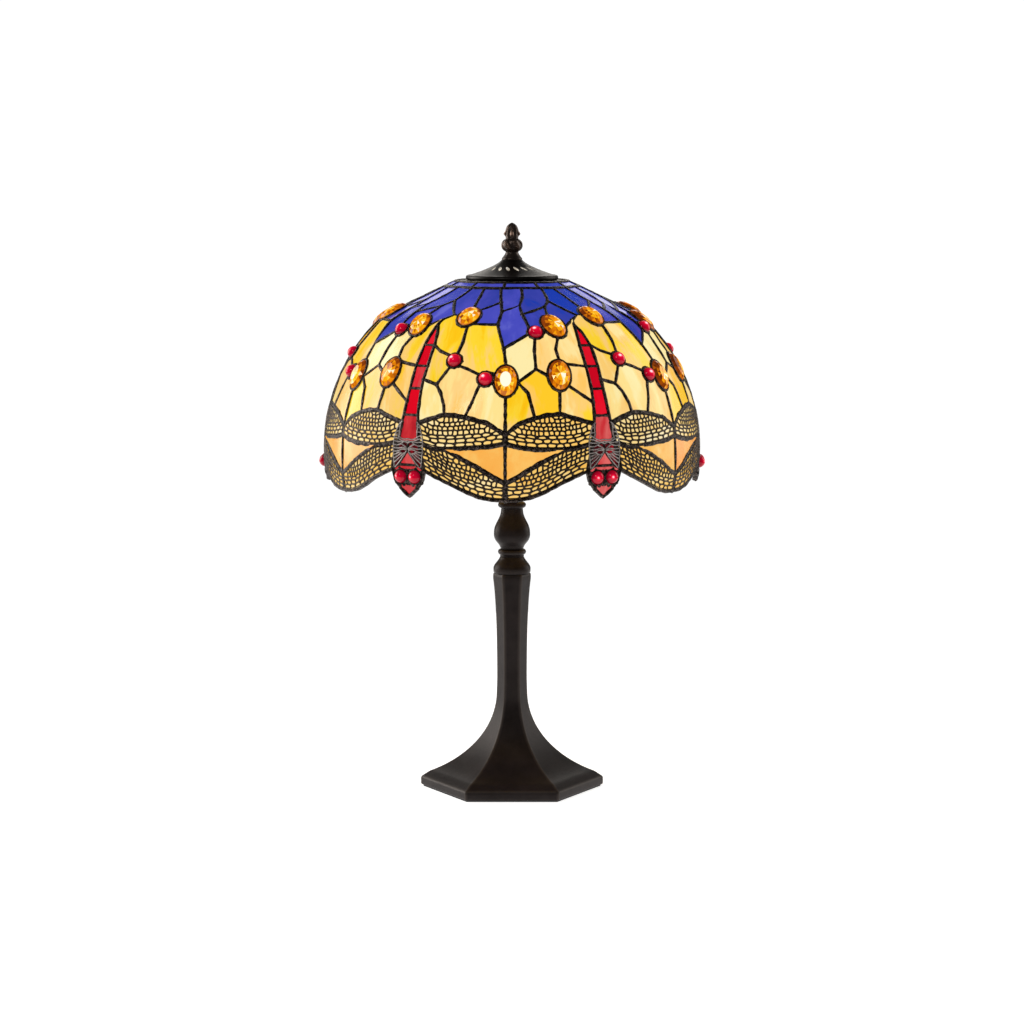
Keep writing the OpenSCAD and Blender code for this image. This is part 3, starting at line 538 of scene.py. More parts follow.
def outer_rings(name):
    """Corners of the outer face of each pane in a CAD node, moved out to the middle of the lead."""
    bm = bmesh.new()
    bm.from_mesh(frame["nodes"][name].data)
    bmesh.ops.remove_doubles(bm, verts=bm.verts, dist=0.02 * MM)
    bmesh.ops.dissolve_limit(bm, angle_limit=math.radians(0.6), verts=bm.verts, edges=bm.edges)
    seen, rings = set(), []
    for start in bm.faces:
        if start in seen:
            continue
        island, queue = [], [start]
        seen.add(start)
        while queue:
            face = queue.pop()
            island.append(face)
            for edge in face.edges:
                for other in edge.link_faces:
                    if other not in seen:
                        seen.add(other)
                        queue.append(other)
        outward = [f for f in island if f.normal.dot(f.calc_center_median() * OUTWARD) > 0]
        face = max(outward, key=lambda f: f.calc_area())
        rings.append(shifted([v.co.copy() for v in face.verts], lambda v: v.cross(face.normal), PANE_GAP, 0.45))
    bm.free()
    return rings


PANE_NODES = ("band_panes", "blue_panes", "gold_panes", "cream_panes", "peach_panes", "tail_panes",
              "body_panes", "upper_wing_panes", "lower_wing_panes")
junctions = []            # Angle and length of each junction of lead lines
junction_points = []


def junction(point):
    """Index of the junction at a point, which is made if there is none."""
    angle, s, _ = pattern_place(point)
    s = max(0.0, s)
    here = on_shade(angle, s)
    for i, other in enumerate(junction_points):
        if (other - here).length < SAME_PLACE:
            return i
    junctions.append((angle, s))
    junction_points.append(here)
    return len(junctions) - 1


def read_panes():
    """Each pane as (node, ring of junctions). Neighbours share junctions."""
    panes = []
    for name in PANE_NODES:
        for ring in outer_rings(name):
            loop = []
            for point in ring:
                at = junction(point)
                if not loop or loop[-1] != at:
                    loop.append(at)
            if loop[0] == loop[-1]:
                loop.pop()
            panes.append((name, loop))
    return panes


panes = read_panes()


# ---- Glass ----

def plane_of(points):
    """Centre, across, up and out of the flat plane that fits a ring of points best."""
    centre = centre_of(points)
    normal = Vector()
    for a, b in around_ring(points):
        normal += (a - centre).cross(b - centre)
    normal.normalize()
    if normal.dot(centre * OUTWARD) < 0:
        normal = -normal
    across = Vector((0, 0, 1)).cross(normal).normalized()
    return centre, across, normal.cross(across), normal


def inside(ring, p, margin):
    """Whether p lies in a flat ring, at least margin from its edge."""
    hit = False
    for a, b in around_ring(ring):
        if (a.y > p.y) != (b.y > p.y) and p.x < (b.x - a.x) * (p.y - a.y) / (b.y - a.y) + a.x:
            hit = not hit
        side = b - a
        t = max(0.0, min(1.0, (p - a).dot(side) / max(side.length_squared, 1e-12)))
        if (a + side * t - p).length < margin:
            return False
    return hit


GLASS_GRID = 4.5 * MM
BOW = 0.55                # Share of the shade's own curve that a pane follows
EDGE_IN = 0.5 * MM
RIPPLES, RIPPLE_H = 90, 0.12              # Waves of the glass to a metre, and their height in mm


def add_pane(builder, points, tone, rng, bow):
    """A pane of wavy glass inside a ring of points on the shade, with its back and sides."""
    centre, across, up, out = plane_of(points)
    flat = [Vector(((p - centre).dot(across), (p - centre).dot(up))) for p in points]
    area = sum(a.x * b.y - a.y * b.x for a, b in around_ring(flat))
    if area < 0:
        flat.reverse()
    ring = shifted(flat, lambda v: Vector((-v.y, v.x)), EDGE_IN, 0.5)
    low, high = (Vector((pick(p.x for p in ring), pick(p.y for p in ring))) for pick in (min, max))
    inner = []
    for i in range(int((high.x - low.x) / GLASS_GRID) + 1):
        for j in range(int((high.y - low.y) / GLASS_GRID) + 1):
            p = low + Vector((i + 0.5 * (j % 2) + rng.uniform(0.1, 0.4), j + rng.uniform(0.1, 0.4))) * GLASS_GRID
            if inside(ring, p, 1.5 * MM):
                inner.append(p)
    verts, _, faces, *_ = delaunay_2d_cdt(ring + inner, [], [list(range(len(ring)))], 1, 1e-7)
    shift = Vector((rng.uniform(0, 50), rng.uniform(0, 50)))
    turn = Matrix.Rotation(rng.uniform(-0.25, 0.25), 2)
    front, places = [], []
    for v in verts:
        flat_point = centre + across * v.x + up * v.y
        rise = -pattern_place(flat_point)[2] * bow
        ripple = noise.noise(flat_point * RIPPLES + Vector((shift.x, 0, 0))) * RIPPLE_H * MM
        front.append(flat_point + out * (rise + ripple))
        places.append(tuple(turn @ v + shift))
    first = builder.add_points(front)
    back = builder.add_points([p - out * GLASS_T for p in front])
    open_edges = {}       # A dict keeps them in order
    for face in faces:
        a, b, c = face
        if (verts[b] - verts[a]).cross(verts[c] - verts[a]) < 0:
            a, c = c, a
        builder.add_face((first + a, first + b, first + c), tone, [places[a], places[b], places[c]])
        builder.add_face((back + c, back + b, back + a), tone, [places[c], places[b], places[a]])
        for e in ((a, b), (b, c), (c, a)):
            if e[::-1] in open_edges:
                del open_edges[e[::-1]]
            else:
                open_edges[e] = True
    for a, b in open_edges:
        builder.add_face((first + b, first + a, back + a, back + b), tone,
                         [places[b], places[a], places[a], places[b]])


# Tones of the panes of one repeat that have their own, by the place of the pane's middle in degrees and mm
PANE_TONES = {
    "gold_panes": (((24, 115), 0.85), ((22, 185), 0.72), ((3.5, 188), 0.6), ((36, 100), 0.42),
                   ((52, 115), 0.6), ((34.5, 145), 0.5)),
    "body_panes": (((30, 205), 0.7), ((30, 220), 0.6), ((30, 243), 0.9), ((30, 270), 0.85),
                   ((26.5, 236), 0.0), ((33.5, 236), 0.0)),
    "cream_panes": (((5, 128), 0.95), ((13.5, 125), 0.8), ((23, 160), 0.35), ((10.5, 172), 0.15),
                    ((45, 170), 0.45), ((54, 180), 0.42), ((36, 180), 0.98)),
}


def pane_tone(rng, name, loop, centre, spread):
    """Colour, brightness and a spare number of a pane, each from 0 to 1."""
    middle = centre_of([on_shade(*junctions[i]) for i in loop])
    angle, s, _ = pattern_place(middle)
    near = 999.0
    for place, tone in PANE_TONES.get(name, ()):
        gap = math.hypot((angle - place[0] + BODY) % STEP - BODY, (s / MM - place[1]) / 3)
        if gap < near:
            near, centre = gap, tone
    return (min(1.0, max(0.0, rng.gauss(centre, spread / 2))), rng.random(), rng.random())


def whole_wings():
    """Each wing as (node, half repeats from the front, ring of junctions), joined from its CAD panes."""
    groups = {}
    for owner, loop in panes:
        if "wing" in owner:
            middle = centre_of([junction_points[i] for i in loop])
            groups.setdefault((owner, int(pattern_place(middle)[0] // BODY)), []).append(loop)
    found = []
    for (owner, half), loops in groups.items():
        uses = {}
        for loop in loops:
            for a, b in around_ring(loop):
                uses.setdefault(frozenset((a, b)), []).append((a, b))
        follow = dict(pairs[0] for pairs in uses.values() if len(pairs) == 1)
        ring = [next(iter(follow))]
        while len(ring) < len(follow):
            ring.append(follow[ring[-1]])
        found.append((owner, half, ring))
    return found


wings = whole_wings()


def make_glass(name, node_name, slot_name, seed, centre=0.5, spread=0.25):
    """All panes of one CAD node, with tones spread round a centre."""
    rng = random.Random(seed)
    builder = Builder()
    winged = "wing" in node_name
    for owner, loop in [(owner, ring) for owner, _, ring in wings] if winged else panes:
        if owner == node_name:
            tone = pane_tone(rng, node_name, loop, centre, spread)
            add_pane(builder, [junction_points[i] for i in loop], tone, rng, 1.0 if winged else BOW)
    builder.piece(name, GLASS[slot_name], "shade", slot_name, node_name)


make_glass("glass_band", "band_panes", "blue_glass", 11)
make_glass("glass_blue", "blue_panes", "blue_glass", 12, 0.5, 0.35)
make_glass("glass_gold", "gold_panes", "gold_glass", 13)
make_glass("glass_cream", "cream_panes", "cream_glass", 14)
make_glass("glass_peach", "peach_panes", "peach_glass", 15, 0.5, 0.4)
make_glass("glass_tail", "tail_panes", "red_glass", 16, 0.5, 0.5)
make_glass("glass_body", "body_panes", "dull_red_glass", 17)
make_glass("glass_upper_wings", "upper_wing_panes", "wing_glass", 18, 0.6, 0.16)
make_glass("glass_lower_wings", "lower_wing_panes", "wing_glass", 19, 0.4, 0.16)


# ---- Solder ----

BEAD_W, RIM_W, WING_W = 1.85 * MM, 1.9 * MM, 2.5 * MM       # Half the width of a solder line
BEAD_H, RIM_H, INNER_H = 1.15 * MM, 2.1 * MM, 1.0 * MM      # Height over the glass
THIN = 0.8                # Narrower lines beside a tail or body
HEAP, FILLET = 1.04, 1.45                 # Heaps where two, and where three lines meet, in half widths of a line
RIM_S, HEAD_END_S = 248 * MM, 266.5 * MM  # Where the rim is at its highest, and where a head is past its eyes
UPPER_END, MIDDLE_END = 92 * MM, 197 * MM
INNER_STEP = 9 * MM


def seam_gap(angle):
    """Distance in degrees from the nearest seam between two repeats."""
    return abs((angle + BODY) % STEP - BODY)


def lead_lines():
    """Each lead line as {pair of junctions: nodes of the panes beside it}."""
    lines = {}
    for owner, loop in panes:
        for a, b in around_ring(loop):
            lines.setdefault((min(a, b), max(a, b)), []).append(owner)
    return lines


def in_a_wing(pair, owners):
    """Whether a line is only a joint inside one wing, which has no solder."""
    if len(owners) < 2 or owners[0] != owners[1] or "wing" not in owners[0]:
        return False
    return all(seam_gap(junctions[i][0]) > 2 for i in pair)


def is_rim(pair, owners):
    """Whether a line is part of the shade's lower rim, and not beside a dragonfly's head."""
    angle, s = ((junctions[pair[0]][i] + junctions[pair[1]][i]) / 2 for i in range(2))
    off_body = abs(angle % STEP - BODY)
    return len(owners) == 1 and s >= RIM_S and (off_body > 5 or s > HEAD_END_S)


def bead_row(point, side, out, width, height, depth, count):
    """Half-round section across a line, from one foot to the other."""
    row = [point + side * width - out * depth]
    for i in range(count + 1):
        a = math.pi * i / count
        row.append(point + side * (width * math.cos(a)) + out * (height * math.sin(a)))
    row.append(point - side * width - out * depth)
    return row


WIDTH_SEED, HEAP_SEED, HEIGHT_SEED = 3.0, 5.0, 7.0
HEAP_LUMPS = 0.14


def lump(point, seed, amount):
    """Factor for the size of hand-laid solder at a point: large lumps and, half as strong, small ones."""
    return 1 + amount * noise.noise(point * 170 + Vector((seed, 0, 0))) + \
        0.5 * amount * noise.noise(point * 420 + Vector((0, seed, 0)))


def surface_path(corners, step):
    """Places on the shade along straight runs between pattern places."""
    path = [corners[0]]
    for a, b in zip(corners, corners[1:]):
        turn = (b[0] - a[0] + 180) % 360 - 180
        count = max(1, round((on_shade(*a) - on_shade(*b)).length / step))
        path += [(a[0] + turn * i / count, a[1] + (b[1] - a[1]) * i / count) for i in range(1, count + 1)]
    return path


WIDEST_S, WIDEST_REACH = 244 * MM, 26 * MM
WIDEST_LIFT = -0.35 * MM


def sunk(s):
    """Lift of a line at s. Where the shade is widest, its lines lie deeper in the glass."""
    return WIDEST_LIFT * math.exp(-((s - WIDEST_S) / WIDEST_REACH) ** 4)


def add_bead(builder, corners, width, height, lumps=0.3, step=2.6 * MM, lift=0.0, inner=False, count=6,
             depth=1.0 * MM, closed=False):
    """Half-round line of metal on the glass, outside or, as inner, inside the shade."""
    places = surface_path(corners + corners[:1] if closed else corners, step)
    if closed:
        places.pop()      # It is the first place again
    points = [on_shade(angle, s, lift + (0.0 if inner else sunk(s))) for angle, s in places]
    rows = []
    last = len(points) - 1
    for i, (angle, s) in enumerate(places):
        before = points[i - 1] if closed or i else points[0]
        after = points[(i + 1) % len(points)] if closed or i < last else points[last]
        out = surface_normal(angle, s) * (-1 if inner else 1)
        side = (after - before).normalized().cross(out).normalized()
        size, high = (lump(points[i], seed, lumps) for seed in (WIDTH_SEED, HEIGHT_SEED))
        rows.append(bead_row(points[i], side, out, width * size, height * high, depth, count))
    if closed:
        rows.append(rows[0])
    builder.grid(rows, closed=True)
    if not closed:
        for row in (rows[0], rows[-1]):
            first = builder.add_points(row)
            builder.add_face(range(first, first + len(row)))


BLOB_DEPTH = 1.2          # How far a heap of solder reaches into the glass, in mm
TOP_SHARE = 0.92          # Where the last row of a heap lies between its foot and its top


def add_blob(builder, place, width, height, around=10, rings=3):
    """Low round heap of solder on a junction."""
    angle, s = place
    centre, across, up, out = surface_frame(angle, s)
    centre += out * sunk(s)
    rows = []
    for i in range(rings + 1):
        tilt = math.pi / 2 * i / rings * TOP_SHARE
        row = []
        for a in turns(around):
            side = across * math.cos(a) + up * math.sin(a)
            size = lump(centre + side * (4 * MM), HEAP_SEED, HEAP_LUMPS)
            row.append(centre + side * (width * math.cos(tilt) * size) + out * (height * math.sin(tilt)))
        rows.append(row)
    rows.insert(0, [p - out * BLOB_DEPTH * MM for p in rows[0]])
    first = builder.grid(rows, closed=True)
    builder.fan(first + (len(rows) - 1) * around, around, centre + out * height)


def zone(s):
    """Which third of the shade the length s is in, as in the CAD lead nodes."""
    return "upper" if s < UPPER_END else "middle" if s < MIDDLE_END else "lower"


def make_solder():
    outer, inner = ({part: Builder() for part in ("upper", "middle", "lower")} for _ in range(2))
    used = {}
    for pair, owners in lead_lines().items():
        if in_a_wing(pair, owners):
            continue
        ends = [junctions[i] for i in pair]
        part = zone((ends[0][1] + ends[1][1]) / 2)
        rim = is_rim(pair, owners)
        thin = all("body" in o or "tail" in o for o in owners)
        wing = any("wing" in o for o in owners)
        width = RIM_W if rim else WING_W if wing else BEAD_W * (THIN if thin else 1.0)
        add_bead(outer[part], ends, width, RIM_H if rim else BEAD_H)
        add_bead(inner[part], ends, width, INNER_H, 0.0, INNER_STEP, -GLASS_T, True, 4)
        for i in pair:
            used.setdefault(i, []).append(width)
    for i, widths in used.items():
        builder = outer[zone(junctions[i][1])]
        add_blob(builder, junctions[i], max(widths) * HEAP, BEAD_H)
        if len(widths) > 2:
            add_blob(builder, junctions[i], min(widths) * FILLET, BEAD_H * 0.6)
    for part, builder in outer.items():
        builder.piece("solder_" + part, SOLDER, "shade", "solder", part + "_leads")
        inner[part].piece("solder_inside_" + part, SOLDER, "shade", "solder")


make_solder()


# ---- Ovals on the surface ----

def in_repeat(repeat, path):
    """Pattern places of a path in one repeat, from degrees and mm in the first."""
    return [(repeat * STEP + angle, s * MM) for angle, s in path]


def at_frame(frame_at, x, y, lift):
    centre, across, up, out = frame_at
    return centre + across * x + up * y + out * lift


# An oval is its centre as (angle, s in mm), half width, half length and turn
JEWEL_W, JEWEL_L, STONE_R, EYE_R = 12, 17.2, 8, 7.6
SEAM_JEWEL = (0, 157, JEWEL_W, JEWEL_L, 0)
JEWELS = (SEAM_JEWEL, (19.5, 90, JEWEL_W, JEWEL_L, -17), (41.8, 74.5, JEWEL_W, JEWEL_L, 0),
          (17.6, 151, JEWEL_W, JEWEL_L, 5))
STONES = ((11.3, 99.5, STONE_R, STONE_R, 0), (41.9, 135, STONE_R, STONE_R, 0), (53.4, 155, STONE_R, STONE_R, 0))
EYES = ((27.6, 258, EYE_R, EYE_R, 0), (32.4, 258, EYE_R, EYE_R, 0))


def oval_frame(oval, repeat):
    """The frame of an oval, turned so that y runs along it."""
    centre, across, up, out = surface_frame(oval[0] + repeat * STEP, oval[1] * MM)
    turn = Matrix.Rotation(math.radians(-oval[4]), 3, out)
    return centre, turn @ across, turn @ up, out


def oval_places(oval, repeat, grow, count):
    """Pattern places around an oval made larger by grow."""
    frame_at = oval_frame(oval, repeat)
    half_w, half_l = oval[2] * MM + grow, oval[3] * MM + grow
    return [pattern_place(at_frame(frame_at, half_w * math.cos(a), half_l * math.sin(a), 0))[:2]
            for a in turns(count)]


# ---- Jewels, stones and eyes ----

JEWEL_GAP, STONE_GAP = 0.6, 0.7           # Between a jewel or stone and the middle of its ring, in mm
# Solder beside the eyes: degrees from the body's middle, length and radius in mm
CHEEKS = ((5.0, 252, 2.6), (4.7, 255.2, 2.0), (4.4, 264.3, 2.2), (3.4, 266.8, 2.6), (1.6, 266.4, 2.4),
          (2.9, 249.8, 2.2), (0.5, 251.8, 2.2), (0.4, 265.2, 2.2))
# Heaps on the seam, where two wings meet: length and radius in mm
SEAM_HEAPS = ((208, 2.3), (214, 3.4), (220, 3.2), (225, 2.4), (266, 2.4), (272, 3.2), (277.5, 3.0))
# Solder between the seam's jewel and the stone beside it, and between the two eyes, in degrees and mm
BRIDGE = ((55.5, 155.7), (57.2, 156.2))
EYE_LINE = ((BODY, 252), (BODY, 265))
FACETS = 16


def add_jewel(builder, oval, repeat, rng):
    """Faceted oval: girdle, main facets, table and a shallow back. The facets' tones are painted reflections,
    darker at the girdle, brighter at the table and lighter on one side.
    """
    frame_at = oval_frame(oval, repeat)
    half_w, half_l = (oval[2] - JEWEL_GAP) * MM, (oval[3] - JEWEL_GAP) * MM

    def ring(scale, lift, offset=0.0):
        return [at_frame(frame_at, half_w * scale * math.cos(a), half_l * scale * math.sin(a), lift * MM)
                for a in turns(FACETS, offset)]

    back = builder.add_points(ring(0.6, -2.6))
    girdle = builder.add_points(ring(1.0, 0.0))
    crown = builder.add_points(ring(0.98, 1.3))
    star = builder.add_points(ring(0.77, 4.1, 0.5))
    table = builder.add_points(ring(0.5, 5.7))
    middle = builder.add_points([at_frame(frame_at, 0, 0, 5.8 * MM), at_frame(frame_at, 0, 0, -2.6 * MM)])

    # Painted light: a random tone for each facet, lighter towards one side as painted shade and highlight
    def facet(indices, low, high, share=0.0):
        turn = 2 * math.pi * (k + 0.5) / FACETS
        tone = rng.uniform(low, high) + 0.2 * math.cos(turn + 0.9) + lit * share
        builder.add_face(indices, (tone,) * 3, flat=True)

    # The seam jewels in front of and behind the bulbs get a painted glow in their middle facets
    lit = 0.6 if oval is SEAM_JEWEL and repeat % 3 == 0 else 0.0
    for k in range(FACETS):
        n = (k + 1) % FACETS
        facet((back + k, back + n, girdle + n, girdle + k), 0.1, 0.4)
        facet((girdle + k, girdle + n, crown + n, crown + k), 0.0, 0.1)
        facet((crown + k, crown + n, star + k), 0.02, 0.4)
        facet((star + k, crown + n, star + n), 0.0, 0.3)
        facet((star + k, star + n, table + n), 0.1, 0.7)
        facet((star + k, table + n, table + k), 0.05, 0.6, 0.2)
        facet((table + k, table + n, middle), 0.3, 0.85, 1.6)
        facet((back + n, back + k, middle + 1), 0.2, 0.6)


STONE_MIDDLE, EYE_MIDDLE = 0.6, 0.42      # Tone of a stone's middle, falling to painted shade at its rim
# Painted highlight on each stone: its size, its strength and its place, in units of the stone's radius
HIGHLIGHT_SIZE, HIGHLIGHT_STRENGTH, HIGHLIGHT_PLACE = 0.3, 0.62, (-0.3, 0.15)


def add_dome(builder, oval, repeat, rng, middle=STONE_MIDDLE, rings=12, around=32):
    """Smooth round stone with a softly uneven surface, darkened towards its rim as painted shade, and with a
    painted highlight.
    """
    frame_at = oval_frame(oval, repeat)
    radius = (oval[2] - STONE_GAP) * MM
    seed = rng.uniform(0, 40)
    rows, levels = [], []
    for i in range(rings):
        tilt = math.radians(-12 + 98 * i / (rings - 1))
        row, level = [], []
        for a in turns(around):
            x, y = math.cos(tilt) * math.cos(a), math.cos(tilt) * math.sin(a)
            soft = 0.985 + 0.015 * noise.noise(Vector((x, y, 0)) * radius * 260 + Vector((seed, seed, 0)))
            row.append(at_frame(frame_at, *(radius * soft * part for part in (x, y, math.sin(tilt)))))
            # spot is the painted highlight, on a tone that darkens towards the rim as painted shade
            spot = math.exp(-((x - HIGHLIGHT_PLACE[0]) ** 2 + (y - HIGHLIGHT_PLACE[1]) ** 2) / HIGHLIGHT_SIZE ** 2)
            level.append((i / (rings - 1)) ** 1.2 * middle + spot * HIGHLIGHT_STRENGTH)
        rows.append(row)
        levels.append(level)
    first = builder.shell(rows, levels)
    top = builder.fan(first + (rings - 1) * around, around, at_frame(frame_at, 0, 0, radius))
    builder.add_face(range(first, first + around))
    builder.point_tones[top] = (middle,) * 3


def make_jewels():
    rng = random.Random(31)
    amber, ruby, eyes, rings = (Builder() for _ in range(4))

    def set_in_ring(oval, repeat, grow, count, width, height):
        add_bead(rings, oval_places(oval, repeat, grow * MM, count), width * MM, height * MM, closed=True)

    for repeat in range(REPEATS):
        for oval in JEWELS:
            add_jewel(amber, oval, repeat, rng)
            set_in_ring(oval, repeat, 0.2, 32, 1.5, 2.0)
        for oval in STONES:
            add_dome(ruby, oval, repeat, rng)
            set_in_ring(oval, repeat, 0.1, 20, 1.3, 1.8)
        for oval in EYES:
            add_dome(eyes, oval, repeat, rng, EYE_MIDDLE)
            set_in_ring(oval, repeat, -0.1, 20, 0.85, 1.7)
        base = repeat * STEP
        add_bead(rings, in_repeat(repeat, BRIDGE), 4.2 * MM, 1.6 * MM)
        add_bead(rings, in_repeat(repeat, EYE_LINE), 1.7 * MM, 1.5 * MM)
        for off, place, width in CHEEKS:
            for side in (1, -1):
                add_blob(rings, (base + BODY + side * off, place * MM), width * MM, 0.55 * MM)
        for place, width in SEAM_HEAPS:
            add_blob(rings, (base, place * MM), width * MM, 0.9 * MM)
    amber.piece("jewels_amber", AMBER, "shade", "amber", "amber_jewels", sharp=0)
    ruby.piece("stones_ruby", RUBY, "shade", "ruby", "ruby_stones", sharp=0)
    eyes.piece("eyes_ruby", RUBY, "shade", "ruby", "dragonfly_eyes", sharp=0)
    rings.piece("solder_rings", SOLDER, "shade", "solder")


make_jewels()


# ---- Rim wires, and the lace over each thorax ----

HEAD_RIM = ((24.5, 251), (25.2, 262), (27.1, 270), (30, 278.5), (32.9, 270), (34.8, 262), (35.5, 251))

# Wires of one side of the lace as degrees from the body's middle and length in mm, mirrored to the other
LACE_WIRES = (
    ((2.6, 202), (3.7, 206), (4.3, 212), (4.9, 219), (5.1, 229), (4.9, 239), (4.6, 248)),
    ((2.9, 203), (3.1, 209), (3.0, 214), (3.4, 219)),
    ((3.0, 207), (3.8, 207.6)), ((3.0, 212), (4.3, 212.4)),
    ((0, 219.4), (1.6, 220), (2.6, 218.8), (3.6, 216.6), (4.6, 215.4)),
    ((0, 221.4), (1.4, 222.2), (2.8, 220.6), (3.8, 219.2), (4.9, 218.9)),
    ((0, 223.8), (1.2, 221.8), (2.6, 222.8), (3.8, 222.6), (5.0, 222.2)),
    ((1.4, 222.2), (2.4, 224.8), (3.6, 226.2), (5.1, 225.8)),
    ((0.2, 229.6), (1.2, 226.6), (2.4, 224.8)),
    ((0.2, 230.2), (1.6, 228.6), (3.2, 229.4), (5.1, 229.2)),
    ((0.3, 231), (1.4, 230.2), (2.6, 231), (2.7, 233.2), (1.6, 234.6), (0.8, 233.8), (0.4, 232)),
    ((2.7, 231.6), (3.8, 232.6), (5.0, 232.8)),
    ((2.7, 233), (3.8, 235), (5.0, 236.4)),
    ((2.2, 234.2), (3.4, 237.2), (4.9, 240)),
    ((1.5, 234.7), (2.8, 239), (4.7, 244)),
    ((0.7, 233.8), (1.8, 239.2), (3.0, 244), (4.4, 249)),
)


def curved(path, steps=4):
    """Places on a smooth line through the given places."""
    ends = [path[0]] + list(path) + [path[-1]]
    out = []
    for a, b, c, d in zip(ends, ends[1:], ends[2:], ends[3:]):
        for i in range(steps):
            t = i / steps
            out.append(tuple(0.5 * (2 * q + (r - p) * t + (2 * p - 5 * q + 4 * r - w) * t * t
                                    + (3 * q - p - 3 * r + w) * t ** 3) for p, q, r, w in zip(a, b, c, d)))
    return out + [tuple(path[-1])]


LACE_W = 0.68 * MM        # Half the width of a wire of the lace


def make_wires():
    """Wires of the lace, on their own material, and the solder round the end of each head."""
    lace, rim = Builder(), Builder()
    for repeat in range(REPEATS):
        base = repeat * STEP + BODY
        add_bead(rim, in_repeat(repeat, HEAD_RIM), 1.25 * MM, 1.6 * MM, depth=GLASS_T)
        for side in (1, -1):
            for wire in LACE_WIRES:
                path = [(base + side * angle, s * MM) for angle, s in curved(wire)]
                add_bead(lace, path, LACE_W, 0.75 * MM, 0.1, 2.0 * MM, 0.8 * MM, count=4, depth=1.2 * MM)
    lace.piece("thorax_wires", LACE, "shade", "filigree", "thorax_lace")
    rim.piece("head_rims", SOLDER, "shade", "solder")


make_wires()


# ---- Filigree of the wings ----

WALL = 0.9 * MM           # Half the width of the metal between two cells
PLATE_LOW, HOLE_HIGH, PLATE_HIGH = 0.25 * MM, 0.7 * MM, 1.0 * MM         # Lifts over the glass
BORDER = 1.9 * MM         # How far inside the lead line's middle the cells begin
BRICK_DEPTH = 14 * MM     # Width of the band of long holes along a wing's low edge
# From cell to cell, from row to row, and how much the rows are drawn out, in that band and above it
LONG_PITCH, ROUND_PITCH = 9.4 * MM, 5.1 * MM
LOW_ROW, HIGH_ROW = 4.3 * MM, 4.05 * MM
LOW_STRETCH, HIGH_STRETCH = 2.6, 1.25


def wing_edges():
    """Each wing of the first repeat as pattern places: top edge, then low edge, both from the seam."""
    found = []
    for name, half, ring in wings:
        if half not in (0, 1):
            continue
        at_seam = [seam_gap(junctions[i][0]) < 1 for i in ring]
        start = next(k for k in range(len(ring)) if at_seam[k] and at_seam[k - 1])
        places = [junctions[i] for i in ring[start:] + ring[:start]]
        middle = len(places) // 2
        one, two = places[:middle], places[middle:][::-1]
        if sum(p[1] for p in one) > sum(p[1] for p in two):
            one, two = two, one
        found.append((name, one, two))
    return found


def along(path, u):
    """Point at a share of the way along a path, counted by its corners."""
    x = u * (len(path) - 1)
    i = min(int(x), len(path) - 2)
    return path[i].lerp(path[i + 1], x - i)


def clip(polygon, point, normal):
    """The part of a convex polygon on the side of a line that its normal points away from."""
    out = []
    for a, b in around_ring(polygon):
        da, db = (a - point).dot(normal), (b - point).dot(normal)
        if da <= 0:
            out.append(a)
        if (da < 0) != (db < 0) and abs(da - db) > 1e-12:
            out.append(a.lerp(b, da / (da - db)))
    return out


def stretched(depth):
    """Distance from a wing's low edge, drawn out so that the cells there come out long and low."""
    return depth * LOW_STRETCH if depth < BRICK_DEPTH else \
        BRICK_DEPTH * LOW_STRETCH + (depth - BRICK_DEPTH) * HIGH_STRETCH


def unstretched(y):
    """The depth that stretched() draws out to y."""
    bend = BRICK_DEPTH * LOW_STRETCH
    return y / LOW_STRETCH if y < bend else BRICK_DEPTH + (y - bend) / HIGH_STRETCH


SLICES = 120              # Slices of a wing from the seam to the body
SEED_IN = 1.2 * MM        # How far inside the border the middle of a cell stays
DEEPEST = 60 * MM         # More than the width of any wing
CELL_UP, CELL_REACH = 20 * MM, 34 * MM    # A cell ends, and its neighbours are found, within these


